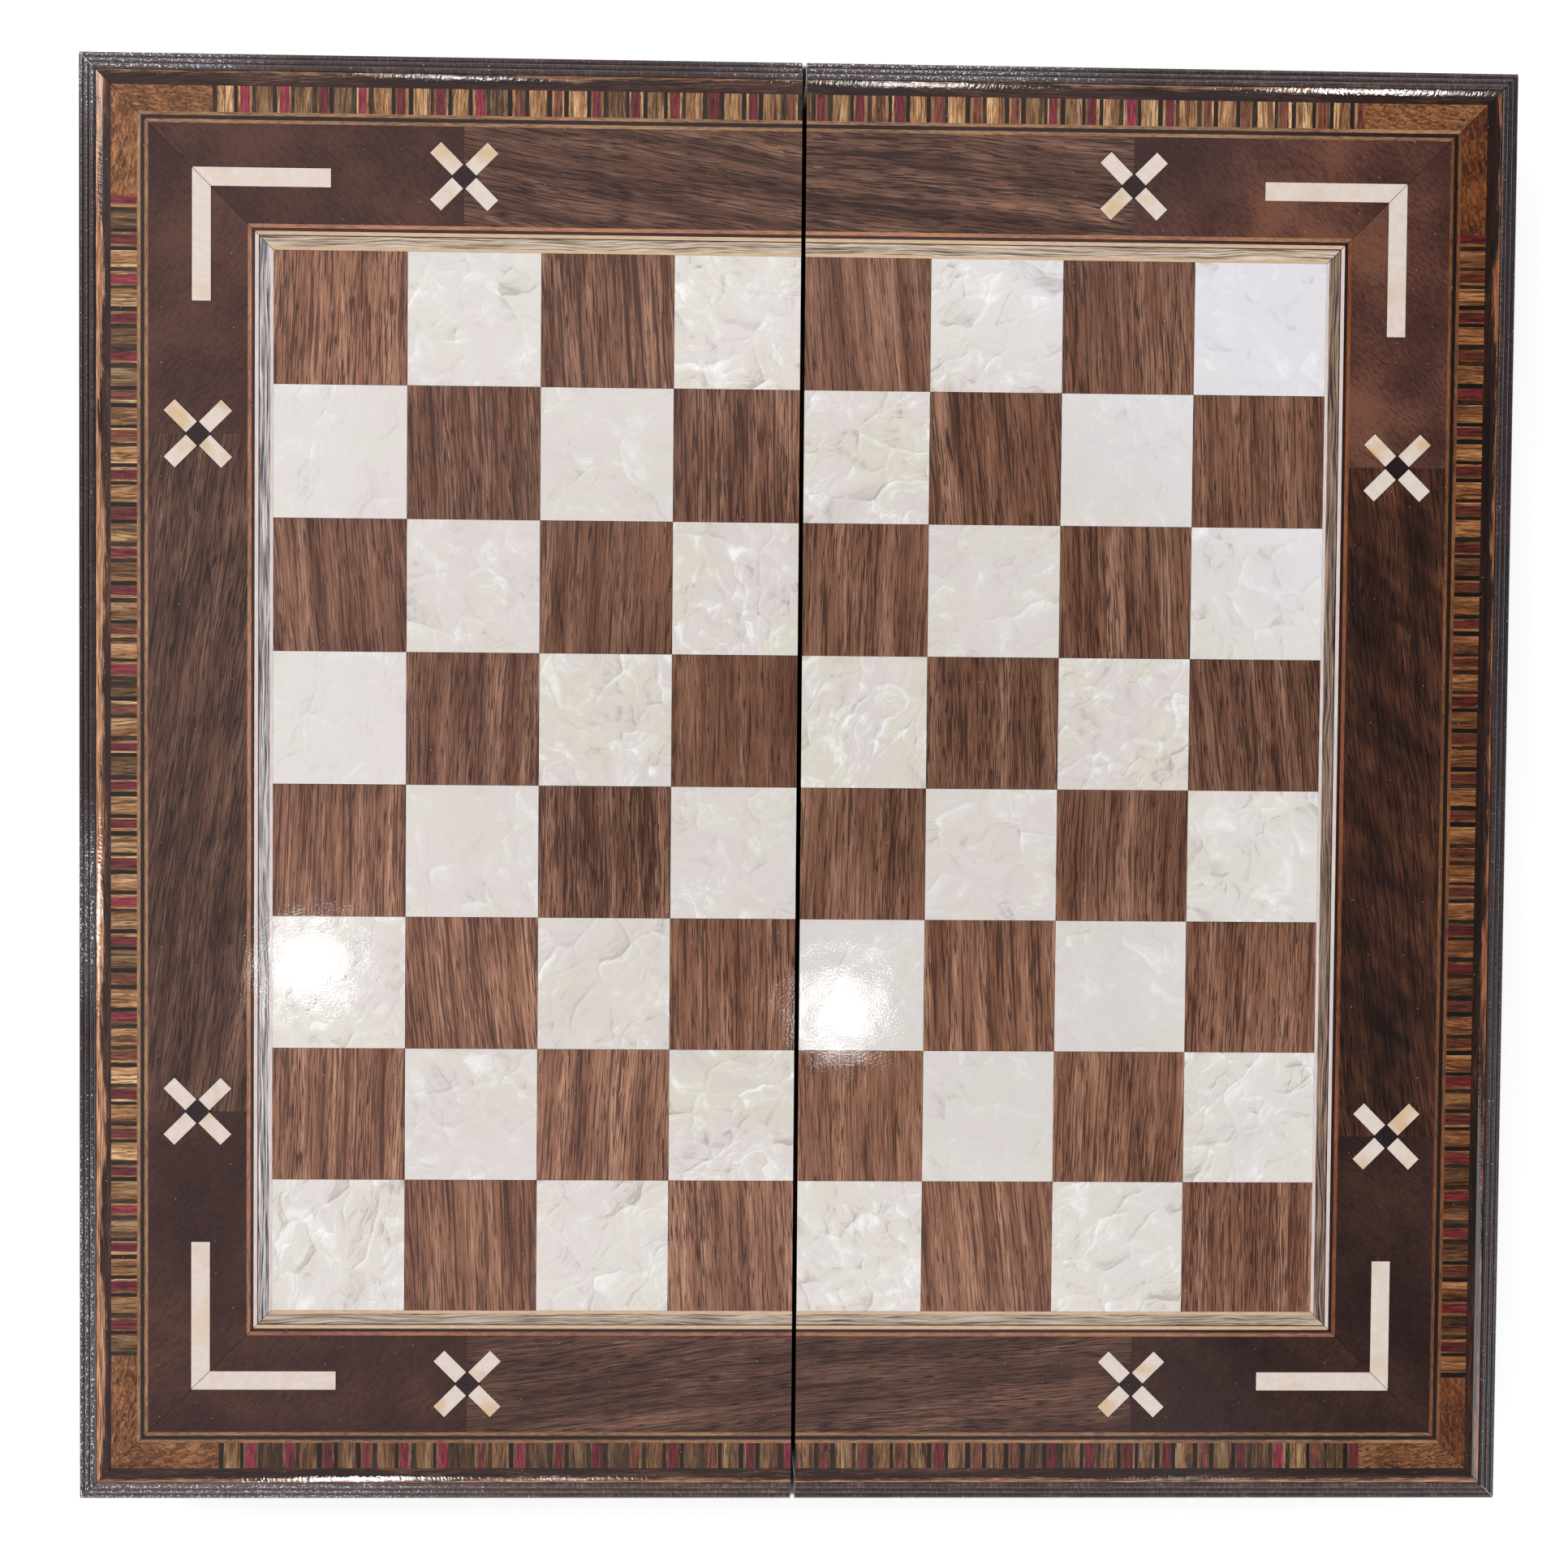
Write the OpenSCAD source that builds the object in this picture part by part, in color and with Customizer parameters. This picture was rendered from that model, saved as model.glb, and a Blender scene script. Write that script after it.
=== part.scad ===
// Inlaid folding chess board: two hinged trays laid open flat with the playing side up.
// X runs across the fold, Y runs along the seam and Z is up. The seam is centred on X = 0.
// Z = 0 is the lowest point of the hinge knuckles, on which the open board just rests.

/* [Board] */
// Side of one square of the playing field
square = 36.5; // [30:0.5:45]
// Width that the cut through the board takes from each centre file
centre_trim = 1.8; // [0.5:0.1:4]
// Gap between the two trays at the seam
seam_gap = 1.2; // [0.8:0.1:1.6]
// Height of one tray, from its rim to the playing surface
tray_h = 30; // [27:1:45]
// Thickness of the inlaid sheets and strips
veneer_t = 0.8; // [0.5:0.1:1.4]
// Thickness of the panel that carries the inlay
base_t = 4; // [3:0.5:6]
// Thickness of the tray walls
wall_t = 9; // [8.5:0.5:13]
// How far the walls stand out past the inlaid surface
wall_out = 1.2; // [0.9:0.1:1.5]
// Glue line round each square
square_glue = 0.08; // [0.04:0.02:0.3]
// Glue line across each mitre
mitre_glue = 0.3; // [0.1:0.05:0.6]

/* [Border strips, from the edge inwards] */
// Width of the light line at the edge
edge_line_w = 0.7; // [0.4:0.1:1.2]
// Width of the dark strip inside the edge line
edge_strip_w = 3.3; // [2:0.1:5]
// Width of the striped banding
band_w = 7.1; // [5:0.1:10]
// Width of the light lines beside the black line
light_line_w = 0.95; // [0.5:0.05:1.5]
// Width of the black line
black_line_w = 1.1; // [0.6:0.1:2]
// Width of the walnut border
walnut_w = 27.1; // [24:0.1:34]
// Width of the light line that starts the inner frame
frame_tan_w = 1.05; // [0.6:0.05:1.5]
// Width of the dark line of the inner frame
frame_dark_w = 0.9; // [0.5:0.05:1.5]
// Width of the outer cream line of the inner frame
frame_cream_w = 1; // [0.6:0.05:1.5]
// Width of the hairline of the inner frame
frame_hair_w = 0.3; // [0.2:0.05:0.6]
// Width of the streaked wood strip of the inner frame
frame_wood_w = 2.9; // [2:0.1:4]
// Width of the cream line next to the squares
frame_lip_w = 0.85; // [0.5:0.05:1.3]

/* [Striped banding] */
// Length of one light block along the banding
tan_block = 4.75; // [3:0.05:7]
// Length of one black slip
black_slip = 1.15; // [0.8:0.05:2]
// Length of one thin light slip
light_slip = 0.6; // [0.4:0.1:1]
// Length of one red slip
red_slip = 2.4; // [1.5:0.1:4]
// Least length of a slip where a run is cut off
least_slip = 0.3; // [0.3:0.05:0.5]
// How far a hand-cut joint between two slips strays from its place
slip_stray = 0.2; // [0:0.02:0.24]

/* [Bone inlay] */
// Width of the bone strips in the corners
bone_w = 5.1; // [3:0.1:7]
// Distance from the walnut's outer edge to a bone strip
bone_inset = 11.9; // [8:0.1:15]
// Filler left round each piece of bone
bone_glue = 0.15; // [0.05:0.05:0.4]
// Side of the black diamond
diamond = 5.1; // [4.4:0.1:6]
// Width of a cross arm
arm_w = 4.2; // [3:0.1:4.3]
// Length of a cross arm
arm_len = 8.5; // [6:0.1:10]

/* [Left tray, laid by hand] */
// Distance of the far end's crossed motif from the middle of the seam
left_far_cross = 93; // [70:0.1:110]
// Distance of the near end's crossed motif from the middle of the seam
left_near_cross = 90.8; // [70:0.1:110]
// Distance of the outer side's far crossed motif from the middle of the side
left_side_far_cross = 95.7; // [70:0.1:110]
// Distance of the outer side's near crossed motif from the middle of the side
left_side_near_cross = 90.7; // [70:0.1:110]
// Length of the bone strip along the far end, on its outer edge
left_far_bone = 37.7; // [25:0.1:50]
// Length of the bone strip along the near end, on its outer edge
left_near_bone = 39.8; // [25:0.1:50]
// Length of the outer side's far bone strip, on its outer edge
left_side_far_bone = 36.3; // [25:0.1:50]
// Length of the outer side's near bone strip, on its outer edge
left_side_near_bone = 41.2; // [25:0.1:50]
// Length of the plain block that ends the far banding, on its inner edge
left_far_block = 20.4; // [14:0.1:32]
// Length of the plain block that ends the near banding, on its inner edge
left_near_block = 22.5; // [14:0.1:32]
// Length of the plain block at the far end of the outer banding, on its inner edge
left_side_far_block = 23; // [14:0.1:32]
// Length of the plain block at the near end of the outer banding, on its inner edge
left_side_near_block = 24.3; // [14:0.1:32]

/* [Right tray, laid by hand] */
// Distance of the far end's crossed motif from the middle of the seam
right_far_cross = 91; // [70:0.1:110]
// Distance of the near end's crossed motif from the middle of the seam
right_near_cross = 94.5; // [70:0.1:110]
// Distance of the outer side's far crossed motif from the middle of the side
right_side_far_cross = 90; // [70:0.1:110]
// Distance of the outer side's near crossed motif from the middle of the side
right_side_near_cross = 96.5; // [70:0.1:110]
// Length of the bone strip along the far end, on its outer edge
right_far_bone = 39.5; // [25:0.1:50]
// Length of the bone strip along the near end, on its outer edge
right_near_bone = 37.2; // [25:0.1:50]
// Length of the outer side's far bone strip, on its outer edge
right_side_far_bone = 42.1; // [25:0.1:50]
// Length of the outer side's near bone strip, on its outer edge
right_side_near_bone = 36.5; // [25:0.1:50]
// Length of the plain block that ends the far banding, on its inner edge
right_far_block = 26.9; // [14:0.1:32]
// Length of the plain block that ends the near banding, on its inner edge
right_near_block = 22.9; // [14:0.1:32]
// Length of the plain block at the far end of the outer banding, on its inner edge
right_side_far_block = 28.7; // [14:0.1:32]
// Length of the plain block at the near end of the outer banding, on its inner edge
right_side_near_block = 18.6; // [14:0.1:32]

/* [Edge moulding] */
// Radius of one reed
reed_r = 1; // [0.8:0.05:1.3]
// Step outwards from reed to reed
reed_pitch = 1.9; // [1.7:0.05:2.2]
// Step down from reed to reed
reed_drop = 1.7; // [1.2:0.1:2.2]
// Height of the moulding
mould_h = 9.4; // [8.5:0.1:12]
// How far the foot of the moulding stands back from its widest reed
mould_foot = 0.4; // [0.2:0.1:0.8]

/* [Inside] */
// Points at each end of a tray
point_count = 6; // [4:1:8]
// Length of a point
point_len = 148; // [90:1:160]
// Gap between the bases of two points
point_gap = 1.5; // [0.5:0.1:4]
// Distance of the bases from the end walls
point_inset = 4; // [2:0.5:10]

/* [Hinges] */
// Distance of each hinge from the middle of the seam
hinge_pos = 112; // [60:1:140]
// Length of a hinge
hinge_len = 32; // [25:1:45]
// Width of a leaf, from the pin's axis
leaf_w = 7.6; // [6.5:0.1:8.2]
// Thickness of a leaf
leaf_t = 1; // [0.8:0.1:1.4]
// Outer radius of the knuckles
knuckle_r = 1.6; // [1.5:0.05:2]
// Knuckles on one hinge
knuckle_count = 5; // [3:2:7]
// Radius of the hinge pin
pin_r = 0.8; // [0.6:0.05:0.9]
// Radial clearance of the pin
pin_clear = 0.05; // [0.02:0.01:0.1]
// Side clearance between knuckles
knuckle_clear = 0.15; // [0.05:0.05:0.3]
// Room round the knuckles and past the ends of the pin
knuckle_gap = 0.3; // [0.2:0.05:0.5]
// Radius of the riveted ends of the pin
rivet_r = 1.15; // [1:0.05:1.4]
// Thickness of the riveted ends of the pin
rivet_t = 0.5; // [0.3:0.1:0.8]
// Gap between the rims when the board is closed
closed_gap = 0.4; // [0.2:0.1:0.8]

/* [Hinge screws] */
// Screws in one leaf
screw_count = 3; // [2:1:4]
// Distance between neighbouring screws
screw_pitch = 10.5; // [7:0.5:10.5]
// Radius of a screw's shank
screw_r = 0.8; // [0.6:0.05:1]
// Radius of a screw's head
screw_head_r = 1.6; // [1.3:0.05:1.8]
// Depth of a screw's countersunk head
screw_head_t = 0.7; // [0.5:0.05:0.8]
// Length of a screw
screw_len = 9; // [6:0.5:12]
// Width and depth of a screw's slot
slot_w = 0.35; // [0.2:0.05:0.5]

/* [Latches] */
// Distance of each latch from the middle of its wall
latch_pos = 96; // [50:1:130]
// Height of the hook's pivot and of the peg above the rim
latch_rise = 7; // [6.5:0.5:8]
// Thickness of a hook
hook_t = 1.2; // [0.8:0.1:1.3]
// Radius of a hook's eye
eye_r = 3.1; // [2.8:0.1:3.5]
// Width of a hook's arm
hook_w = 4.8; // [4.4:0.1:5.2]
// Length of the finger tab past the peg
tab_len = 2.5; // [1.8:0.1:4]
// Gap beside a hook's faces
hook_play = 0.15; // [0.1:0.05:0.2]
// Radius of the pivot screw's shank
pivot_r = 1.2; // [0.9:0.05:1.4]
// Radial clearance of the hook on its pivot
pivot_clear = 0.06; // [0.02:0.01:0.1]
// Radius of the pivot screw's head
pivot_head_r = 2.2; // [1.9:0.1:2.6]
// Radius of the peg's shank
peg_r = 1; // [0.8:0.05:1.1]
// Clearance of the hook's slot on the peg
peg_clear = 0.15; // [0.1:0.05:0.25]
// Radius of the peg's head
peg_head_r = 1.8; // [1.6:0.1:2.1]
// Thickness of both heads
head_t = 0.8; // [0.5:0.1:0.9]
// Depth of the pivot screw and of the peg in the wall
latch_depth = 7; // [4:0.5:8]

/* [Hidden] */
$fn = 48;
LEFT = -1;
RIGHT = 1;
NEAR = -1;
FAR = 1;
// A cut runs this far past the face that it leaves
past = 1;

// Heights
axis_z = knuckle_r;
rim_z = axis_z + closed_gap / 2;
top_z = rim_z + tray_h;
panel_top_z = top_z - veneer_t;
wall_top_z = panel_top_z - base_t;
inner_z = wall_top_z - veneer_t;

// Distances from the edge of the inlaid surface to the start of each strip
edge_strip_u = edge_line_w;
band_u = edge_strip_u + edge_strip_w;
outer_light_u = band_u + band_w;
black_line_u = outer_light_u + light_line_w;
inner_light_u = black_line_u + black_line_w;
walnut_u = inner_light_u + light_line_w;
frame_tan_u = walnut_u + walnut_w;
frame_dark_u = frame_tan_u + frame_tan_w;
frame_cream_u = frame_dark_u + frame_dark_w;
frame_hair_u = frame_cream_u + frame_cream_w;
frame_wood_u = frame_hair_u + frame_hair_w;
frame_lip_u = frame_wood_u + frame_wood_w;
field_u = frame_lip_u + frame_lip_w;

// The inlaid surface of one tray, seen from its seam face
half_l = field_u + 4 * square;
top_w = half_l - centre_trim;
outer_w = top_w + wall_out;
outer_l = half_l + wall_out;
mould_reach = 2 * reed_r + 2 * reed_pitch;

// Banding: where each slip of a repeat starts, from light block to light block
black_a = tan_block;
light_a = black_a + black_slip;
red_a = light_a + light_slip;
light_b = red_a + red_slip;
black_b = light_b + light_slip;
period = black_b + black_slip;
slip_starts = [0, black_a, light_a, red_a, light_b, black_b, period];
// Step in degrees from joint to joint, which never falls into time with the repeats
stray_turn = 71;
// Places in a repeat of the slips that can end a run
BLACK_SLIP = 1;
RED_SLIP = 3;

// What each corner has of its own: left near, left far, right near, right far
end_crosses = [left_near_cross, left_far_cross, right_near_cross, right_far_cross];
side_crosses = [left_side_near_cross, left_side_far_cross, right_side_near_cross, right_side_far_cross];
end_bones = [left_near_bone, left_far_bone, right_near_bone, right_far_bone];
side_bones = [left_side_near_bone, left_side_far_bone, right_side_near_bone, right_side_far_bone];
end_blocks = [left_near_block, left_far_block, right_near_block, right_far_block];
side_blocks = [left_side_near_block, left_side_far_block, right_side_near_block, right_side_far_block];

// Crossed motifs sit in the middle of the walnut
cross_u = walnut_u + walnut_w / 2;

// Outer corner of the bone strips
bone_x = top_w - walnut_u - bone_inset;
bone_y = half_l - walnut_u - bone_inset;

// Hinges
knuckle_len = hinge_len / knuckle_count;
knuckle_room = knuckle_r + knuckle_gap;
screw_x = (knuckle_room + leaf_w) / 2;
hinge_reach = hinge_len / 2 + rivet_t + knuckle_gap;

// Latches
latch_z = rim_z + latch_rise;
hook_reach = 2 * latch_rise + closed_gap;
hook_x = seam_gap / 2 + outer_w + hook_play;
head_x = hook_x + hook_t + hook_play;

// Places things drawn on the +X side of the seam on either side of it
module on_side(side) {
    if (side == LEFT) {
        mirror([1, 0, 0]) children();
    } else {
        children();
    }
}

// Moves from the seam plane to a tray's seam face
module tray(side) {
    on_side(side) translate([seam_gap / 2, 0, 0]) children();
}

// Lays a flat outline in the inlaid surface
module inlay() {
    translate([0, 0, panel_top_z]) linear_extrude(veneer_t) children();
}

// What one corner has, from a list of all four
function at_corner(values, side, end) = values[(side == LEFT ? 0 : 2) + (end == NEAR ? 0 : 1)];

// Distance of a crossed motif at one end from the seam face
function cross_x(side, end) = at_corner(end_crosses, side, end) - seam_gap / 2;

// Length of the slips' run from the seam face along one end
function end_run(side, end) = top_w - outer_light_u - at_corner(end_blocks, side, end);

// How far the slips along the outer side reach from its middle towards one end
function side_run(side, end) = half_l - outer_light_u - at_corner(side_blocks, side, end);

// Turns things drawn at the far end to the given end
module at_end(end) {
    mirror([0, end == FAR ? 0 : 1, 0]) children();
}

// Repeats at both ends of a tray
module both_ends() {
    children();
    mirror([0, 1, 0]) children();
}

// Outline of a strip along the outer side, mitred at both ends
module side_outline(u0, u1) {
    gap = mitre_glue / 2 * sqrt(2);
    polygon([
        [top_w - u0, half_l - u0 - gap],
        [top_w - u1, half_l - u1 - gap],
        [top_w - u1, gap - half_l + u1],
        [top_w - u0, gap - half_l + u0]
    ]);
}

// Outline of a strip along the far end, square at the seam and mitred at the corner
module end_outline(u0, u1) {
    polygon([
        [0, half_l - u0],
        [top_w - u0, half_l - u0],
        [top_w - u1, half_l - u1],
        [0, half_l - u1]
    ]);
}

// Three strips that run round a tray's inlaid surface
module strips(u0, w) {
    inlay() side_outline(u0, u0 + w);
    both_ends() inlay() end_outline(u0, u0 + w);
}

// Panel that carries the inlay
module base_panel(side) {
    color("#3a2a20") tray(side) translate([0, -outer_l, wall_top_z]) cube([outer_w, 2 * outer_l, base_t]);
}

// Wall on the side away from the seam, drilled for the pivot screws or the pegs
module outer_wall(side) {
    color("#4a3226") difference() {
        tray(side) translate([0, 0, rim_z]) linear_extrude(wall_top_z - rim_z) polygon([
            [outer_w, -outer_l],
            [outer_w, outer_l],
            [outer_w - wall_t, outer_l - wall_t],
            [outer_w - wall_t, wall_t - outer_l]
        ]);
        for (end = [NEAR, FAR]) {
            on_side(side) translate([seam_gap / 2 + outer_w - latch_depth, end * latch_pos, latch_z])
                rotate([0, 90, 0]) cylinder(r = side == LEFT ? pivot_r : peg_r, h = latch_depth + past);
        }
    }
}

// Wall at the seam, with the mortises for the hinges
module seam_wall(side) {
    color("#4a3226") difference() {
        tray(side) translate([0, 0, rim_z]) linear_extrude(wall_top_z - rim_z) polygon([
            [0, -outer_l],
            [wall_t, wall_t - outer_l],
            [wall_t, outer_l - wall_t],
            [0, outer_l]
        ]);
        for (end = [NEAR, FAR]) {
            translate([0, end * hinge_pos, 0]) on_side(side) hinge_mortise();
        }
    }
}

// Room for one leaf, its screws and the knuckles
module hinge_mortise() {
    translate([-past, -hinge_len / 2, rim_z - past]) cube([leaf_w + past, hinge_len, leaf_t + past]);
    translate([0, hinge_reach, axis_z]) rotate([90, 0, 0]) cylinder(r = knuckle_room, h = 2 * hinge_reach);
    each_screw() cylinder(r = screw_r, h = screw_len);
}

// Places of the screws of one leaf, from the rim upwards
module each_screw() {
    for (i = [0 : screw_count - 1]) {
        translate([screw_x, (i - (screw_count - 1) / 2) * screw_pitch, rim_z]) children();
    }
}

// Walls at the far and near ends
module end_walls(side) {
    color("#4a3226") tray(side) both_ends() translate([0, 0, rim_z])
        linear_extrude(wall_top_z - rim_z) polygon([
            [0, outer_l],
            [wall_t, outer_l - wall_t],
            [outer_w - wall_t, outer_l - wall_t],
            [outer_w, outer_l]
        ]);
}

// Reeded profile, outwards from the inlaid surface and down from its plane
module mould_profile() {
    waist_z = 2 * reed_r - mould_h;
    foot_x = mould_reach - mould_foot - reed_r;
    difference() {
        union() {
            for (i = [0 : 2]) {
                at = [reed_r + i * reed_pitch, -reed_r - i * reed_drop];
                translate(at) circle(r = reed_r);
                translate([0, waist_z]) square([at.x + reed_r, at.y - waist_z]);
            }
            translate([0, -mould_h]) square([foot_x, 2 * reed_r]);
            translate([foot_x, reed_r - mould_h]) circle(r = reed_r);
        }
        translate([-past, -mould_h - past]) square([wall_out + past, mould_h + past - veneer_t]);
    }
}

// Moulding along the three outer edges of a tray, mitred at the corners
module moulding(side) {
    gap = mitre_glue / 2 * sqrt(2);
    far_x = top_w + mould_reach + past;
    far_y = half_l + mould_reach + past;
    color("#231a18") tray(side) {
        intersection() {
            translate([top_w, far_y, top_z]) rotate([90, 0, 0])
                linear_extrude(2 * far_y) mould_profile();
            translate([0, 0, top_z - mould_h - past]) linear_extrude(mould_h + 2 * past) polygon([
                [top_w - past, half_l - past - gap],
                [far_x, far_y - gap],
                [far_x, gap - far_y],
                [top_w - past, past + gap - half_l]
            ]);
        }
        both_ends() intersection() {
            translate([0, half_l, top_z]) rotate([90, 0, 90]) linear_extrude(far_x) mould_profile();
            translate([0, 0, top_z - mould_h - past]) linear_extrude(mould_h + 2 * past) polygon([
                [-past, half_l - past],
                [top_w - past, half_l - past],
                [far_x, far_y],
                [-past, far_y]
            ]);
        }
    }
}

// Light lines: one at the edge and one on each side of the black line
module light_lines(side) {
    color("#b98a5c") tray(side) {
        strips(0, edge_line_w);
        strips(outer_light_u, light_line_w);
        strips(inner_light_u, light_line_w);
    }
}

// Dark strip between the edge line and the banding
module edge_strip(side) {
    color("#4b352b") tray(side) strips(edge_strip_u, edge_strip_w);
}

// Black line outside the walnut
module black_line(side) {
    color("#1d1c1b") tray(side) strips(black_line_u, black_line_w);
}

// Place along a run of the joint before slip k of repeat i. Repeats count back from the run's end,
// where the last slip is whole. Joints stray a little, as hand-cut ones do.
function joint_at(run, last, i, k) =
    let(
        stray = slip_stray * sin(stray_turn * (i * (len(slip_starts) - 1) - k)),
        place = run - slip_starts[last + 1] - i * period + slip_starts[k] + stray
    )
    place < least_slip ? 0 : (place > run - least_slip ? run : place);

// The slips with the given places in the repeat, on one run that starts at zero
module run_slips(places, run, last) {
    linear_extrude(veneer_t) {
        for (i = [0 : ceil(run / period) + 1], k = places) {
            x0 = joint_at(run, last, i, k);
            x1 = joint_at(run, last, i, k + 1);
            if (x1 > x0) {
                translate([x0, 0]) square([x1 - x0, band_w]);
            }
        }
    }
}

// The same slips along both ends and the outer side of the banding
module band_slips(side, places) {
    tray(side) {
        for (end = [NEAR, FAR]) {
            at_end(end) translate([0, half_l - outer_light_u, panel_top_z])
                run_slips(places, end_run(side, end), side == LEFT ? BLACK_SLIP : RED_SLIP);
        }
        translate([top_w - band_u, -side_run(side, NEAR), panel_top_z]) rotate([0, 0, 90])
            run_slips(places, side_run(side, NEAR) + side_run(side, FAR), RED_SLIP);
    }
}

// Light blocks and thin light slips of the banding
module band_tan(side) {
    color("#b07d45") band_slips(side, [0, 2, 4]);
}

// Black slips of the banding
module band_black(side) {
    color("#20231f") band_slips(side, [1, 5]);
}

// Red slips of the banding
module band_red(side) {
    color("#8f3440") band_slips(side, [3]);
}

// Plain blocks that fill the banding up to the mitres
module band_corners(side) {
    color("#8a5a36") tray(side) for (end = [NEAR, FAR]) {
        at_end(end) inlay() intersection() {
            end_outline(band_u, outer_light_u);
            translate([end_run(side, end), 0]) square([top_w, half_l]);
        }
        at_end(end) inlay() intersection() {
            side_outline(band_u, outer_light_u);
            translate([0, side_run(side, end)]) square([top_w, half_l]);
        }
    }
}

// Bone strips of one corner, as they lie at the far end
module strip_outlines(side, end) {
    gap = mitre_glue / 2 * sqrt(2);
    end_x = bone_x - at_corner(end_bones, side, end);
    end_y = bone_y - at_corner(side_bones, side, end);
    polygon([
        [end_x, bone_y],
        [bone_x, bone_y],
        [bone_x - bone_w, bone_y - bone_w],
        [end_x, bone_y - bone_w]
    ]);
    polygon([
        [bone_x, bone_y - gap],
        [bone_x, end_y],
        [bone_x - bone_w, end_y],
        [bone_x - bone_w, bone_y - bone_w - gap]
    ]);
}

// Bed of the bone strips of one corner, as it lies at the far end
module strip_bed(side, end) {
    bed_w = bone_w + 2 * bone_glue;
    end_len = at_corner(end_bones, side, end) + 2 * bone_glue;
    side_len = at_corner(side_bones, side, end) + 2 * bone_glue;
    translate([bone_x + bone_glue - end_len, bone_y + bone_glue - bed_w]) square([end_len, bed_w]);
    translate([bone_x + bone_glue - bed_w, bone_y + bone_glue - side_len]) square([bed_w, side_len]);
}

// Centres of the crossed motifs of a tray
module each_cross(side) {
    for (end = [NEAR, FAR]) {
        translate([cross_x(side, end), end * (half_l - cross_u)]) children();
        translate([top_w - cross_u, end * at_corner(side_crosses, side, end)]) children();
    }
}

// Four arms round the diamond, drawn larger by the given glue
module arm_outlines(glue) {
    for (turn = [45 : 90 : 315]) {
        rotate(turn) translate([diamond / 2 - glue, -arm_w / 2 - glue])
            square([arm_len + 2 * glue, arm_w + 2 * glue]);
    }
}

// Diamond at the middle of a crossed motif, drawn larger by the given glue
module diamond_outline(glue) {
    rotate(45) square(diamond + 2 * glue, center = true);
}

// Everything let into the walnut border
module border_cuts(side) {
    for (end = [NEAR, FAR]) {
        at_end(end) strip_bed(side, end);
    }
    each_cross(side) {
        arm_outlines(bone_glue);
        diamond_outline(bone_glue);
    }
}

// Walnut from the mitres to the crossed motifs
module border_corners(side) {
    color("#523629") tray(side) for (end = [NEAR, FAR]) {
        inlay() difference() {
            at_end(end) intersection() {
                end_outline(walnut_u, frame_tan_u);
                translate([cross_x(side, end), 0]) square([top_w, half_l]);
            }
            border_cuts(side);
        }
        inlay() difference() {
            at_end(end) intersection() {
                side_outline(walnut_u, frame_tan_u);
                translate([0, at_corner(side_crosses, side, end)]) square([top_w, half_l]);
            }
            border_cuts(side);
        }
    }
}

// Walnut between the crossed motifs
module border_middles(side) {
    near = at_corner(side_crosses, side, NEAR);
    far = at_corner(side_crosses, side, FAR);
    color("#5d4134") tray(side) {
        for (end = [NEAR, FAR]) {
            inlay() difference() {
                at_end(end) intersection() {
                    end_outline(walnut_u, frame_tan_u);
                    square([cross_x(side, end), half_l]);
                }
                border_cuts(side);
            }
        }
        inlay() difference() {
            intersection() {
                side_outline(walnut_u, frame_tan_u);
                translate([0, -near]) square([top_w, near + far]);
            }
            border_cuts(side);
        }
    }
}

// Bone strips in the corners
module bone_bars(side) {
    color("#ded6c4") tray(side) for (end = [NEAR, FAR]) {
        at_end(end) inlay() strip_outlines(side, end);
    }
}

// Bone arms of the crossed motifs
module bone_arms(side) {
    color("#e4dccb") tray(side) inlay() each_cross(side) arm_outlines(0);
}

// Black diamonds of the crossed motifs
module diamonds(side) {
    color("#191818") tray(side) inlay() each_cross(side) diamond_outline(0);
}

// Light lines of the inner frame
module frame_light(side) {
    color("#c9ab80") tray(side) {
        strips(frame_tan_u, frame_tan_w);
        strips(frame_cream_u, frame_cream_w);
        strips(frame_lip_u, frame_lip_w);
    }
}

// Dark lines of the inner frame
module frame_dark(side) {
    color("#3b2a24") tray(side) {
        strips(frame_dark_u, frame_dark_w);
        strips(frame_hair_u, frame_hair_w);
    }
}

// Streaked strip of the inner frame
module frame_wood(side) {
    color("#9b8e86") tray(side) strips(frame_wood_u, frame_wood_w);
}

// Squares of one colour. The far left square of the whole board is dark.
module squares(side, odd) {
    inset = square_glue / 2;
    tray(side) for (file = [0 : 3], rank = [0 : 3], end = [NEAR, FAR]) {
        x0 = file == 0 ? 0 : file * square - centre_trim;
        x1 = (file + 1) * square - centre_trim;
        y0 = end == FAR ? rank * square : -(rank + 1) * square;
        parity = (file + rank + (end == FAR ? 0 : 1) + (side == LEFT ? 1 : 0)) % 2;
        if (parity == odd) {
            translate([x0 + inset, y0 + inset, panel_top_z])
                cube([x1 - x0 - 2 * inset, square - 2 * inset, veneer_t]);
        }
    }
}

// Walnut squares
module dark_squares(side) {
    color("#5b3d2c") squares(side, 1);
}

// Pearl squares
module light_squares(side) {
    color("#cfc4ae") squares(side, 0);
}

// Outline of every second point, at the far end of a tray
module point_outlines(odd) {
    room = outer_w - 2 * wall_t;
    pitch = (room - 2 * point_inset) / point_count;
    base_y = outer_l - wall_t - point_inset;
    for (i = [0 : point_count - 1]) {
        if (i % 2 == odd) {
            middle = wall_t + point_inset + (i + 0.5) * pitch;
            polygon([
                [middle - (pitch - point_gap) / 2, base_y],
                [middle + (pitch - point_gap) / 2, base_y],
                [middle, base_y - point_len]
            ]);
        }
    }
}

// Lays an outline against the underside of the panel, inside the tray
module lining() {
    translate([0, 0, inner_z]) linear_extrude(veneer_t) children();
}

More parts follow.
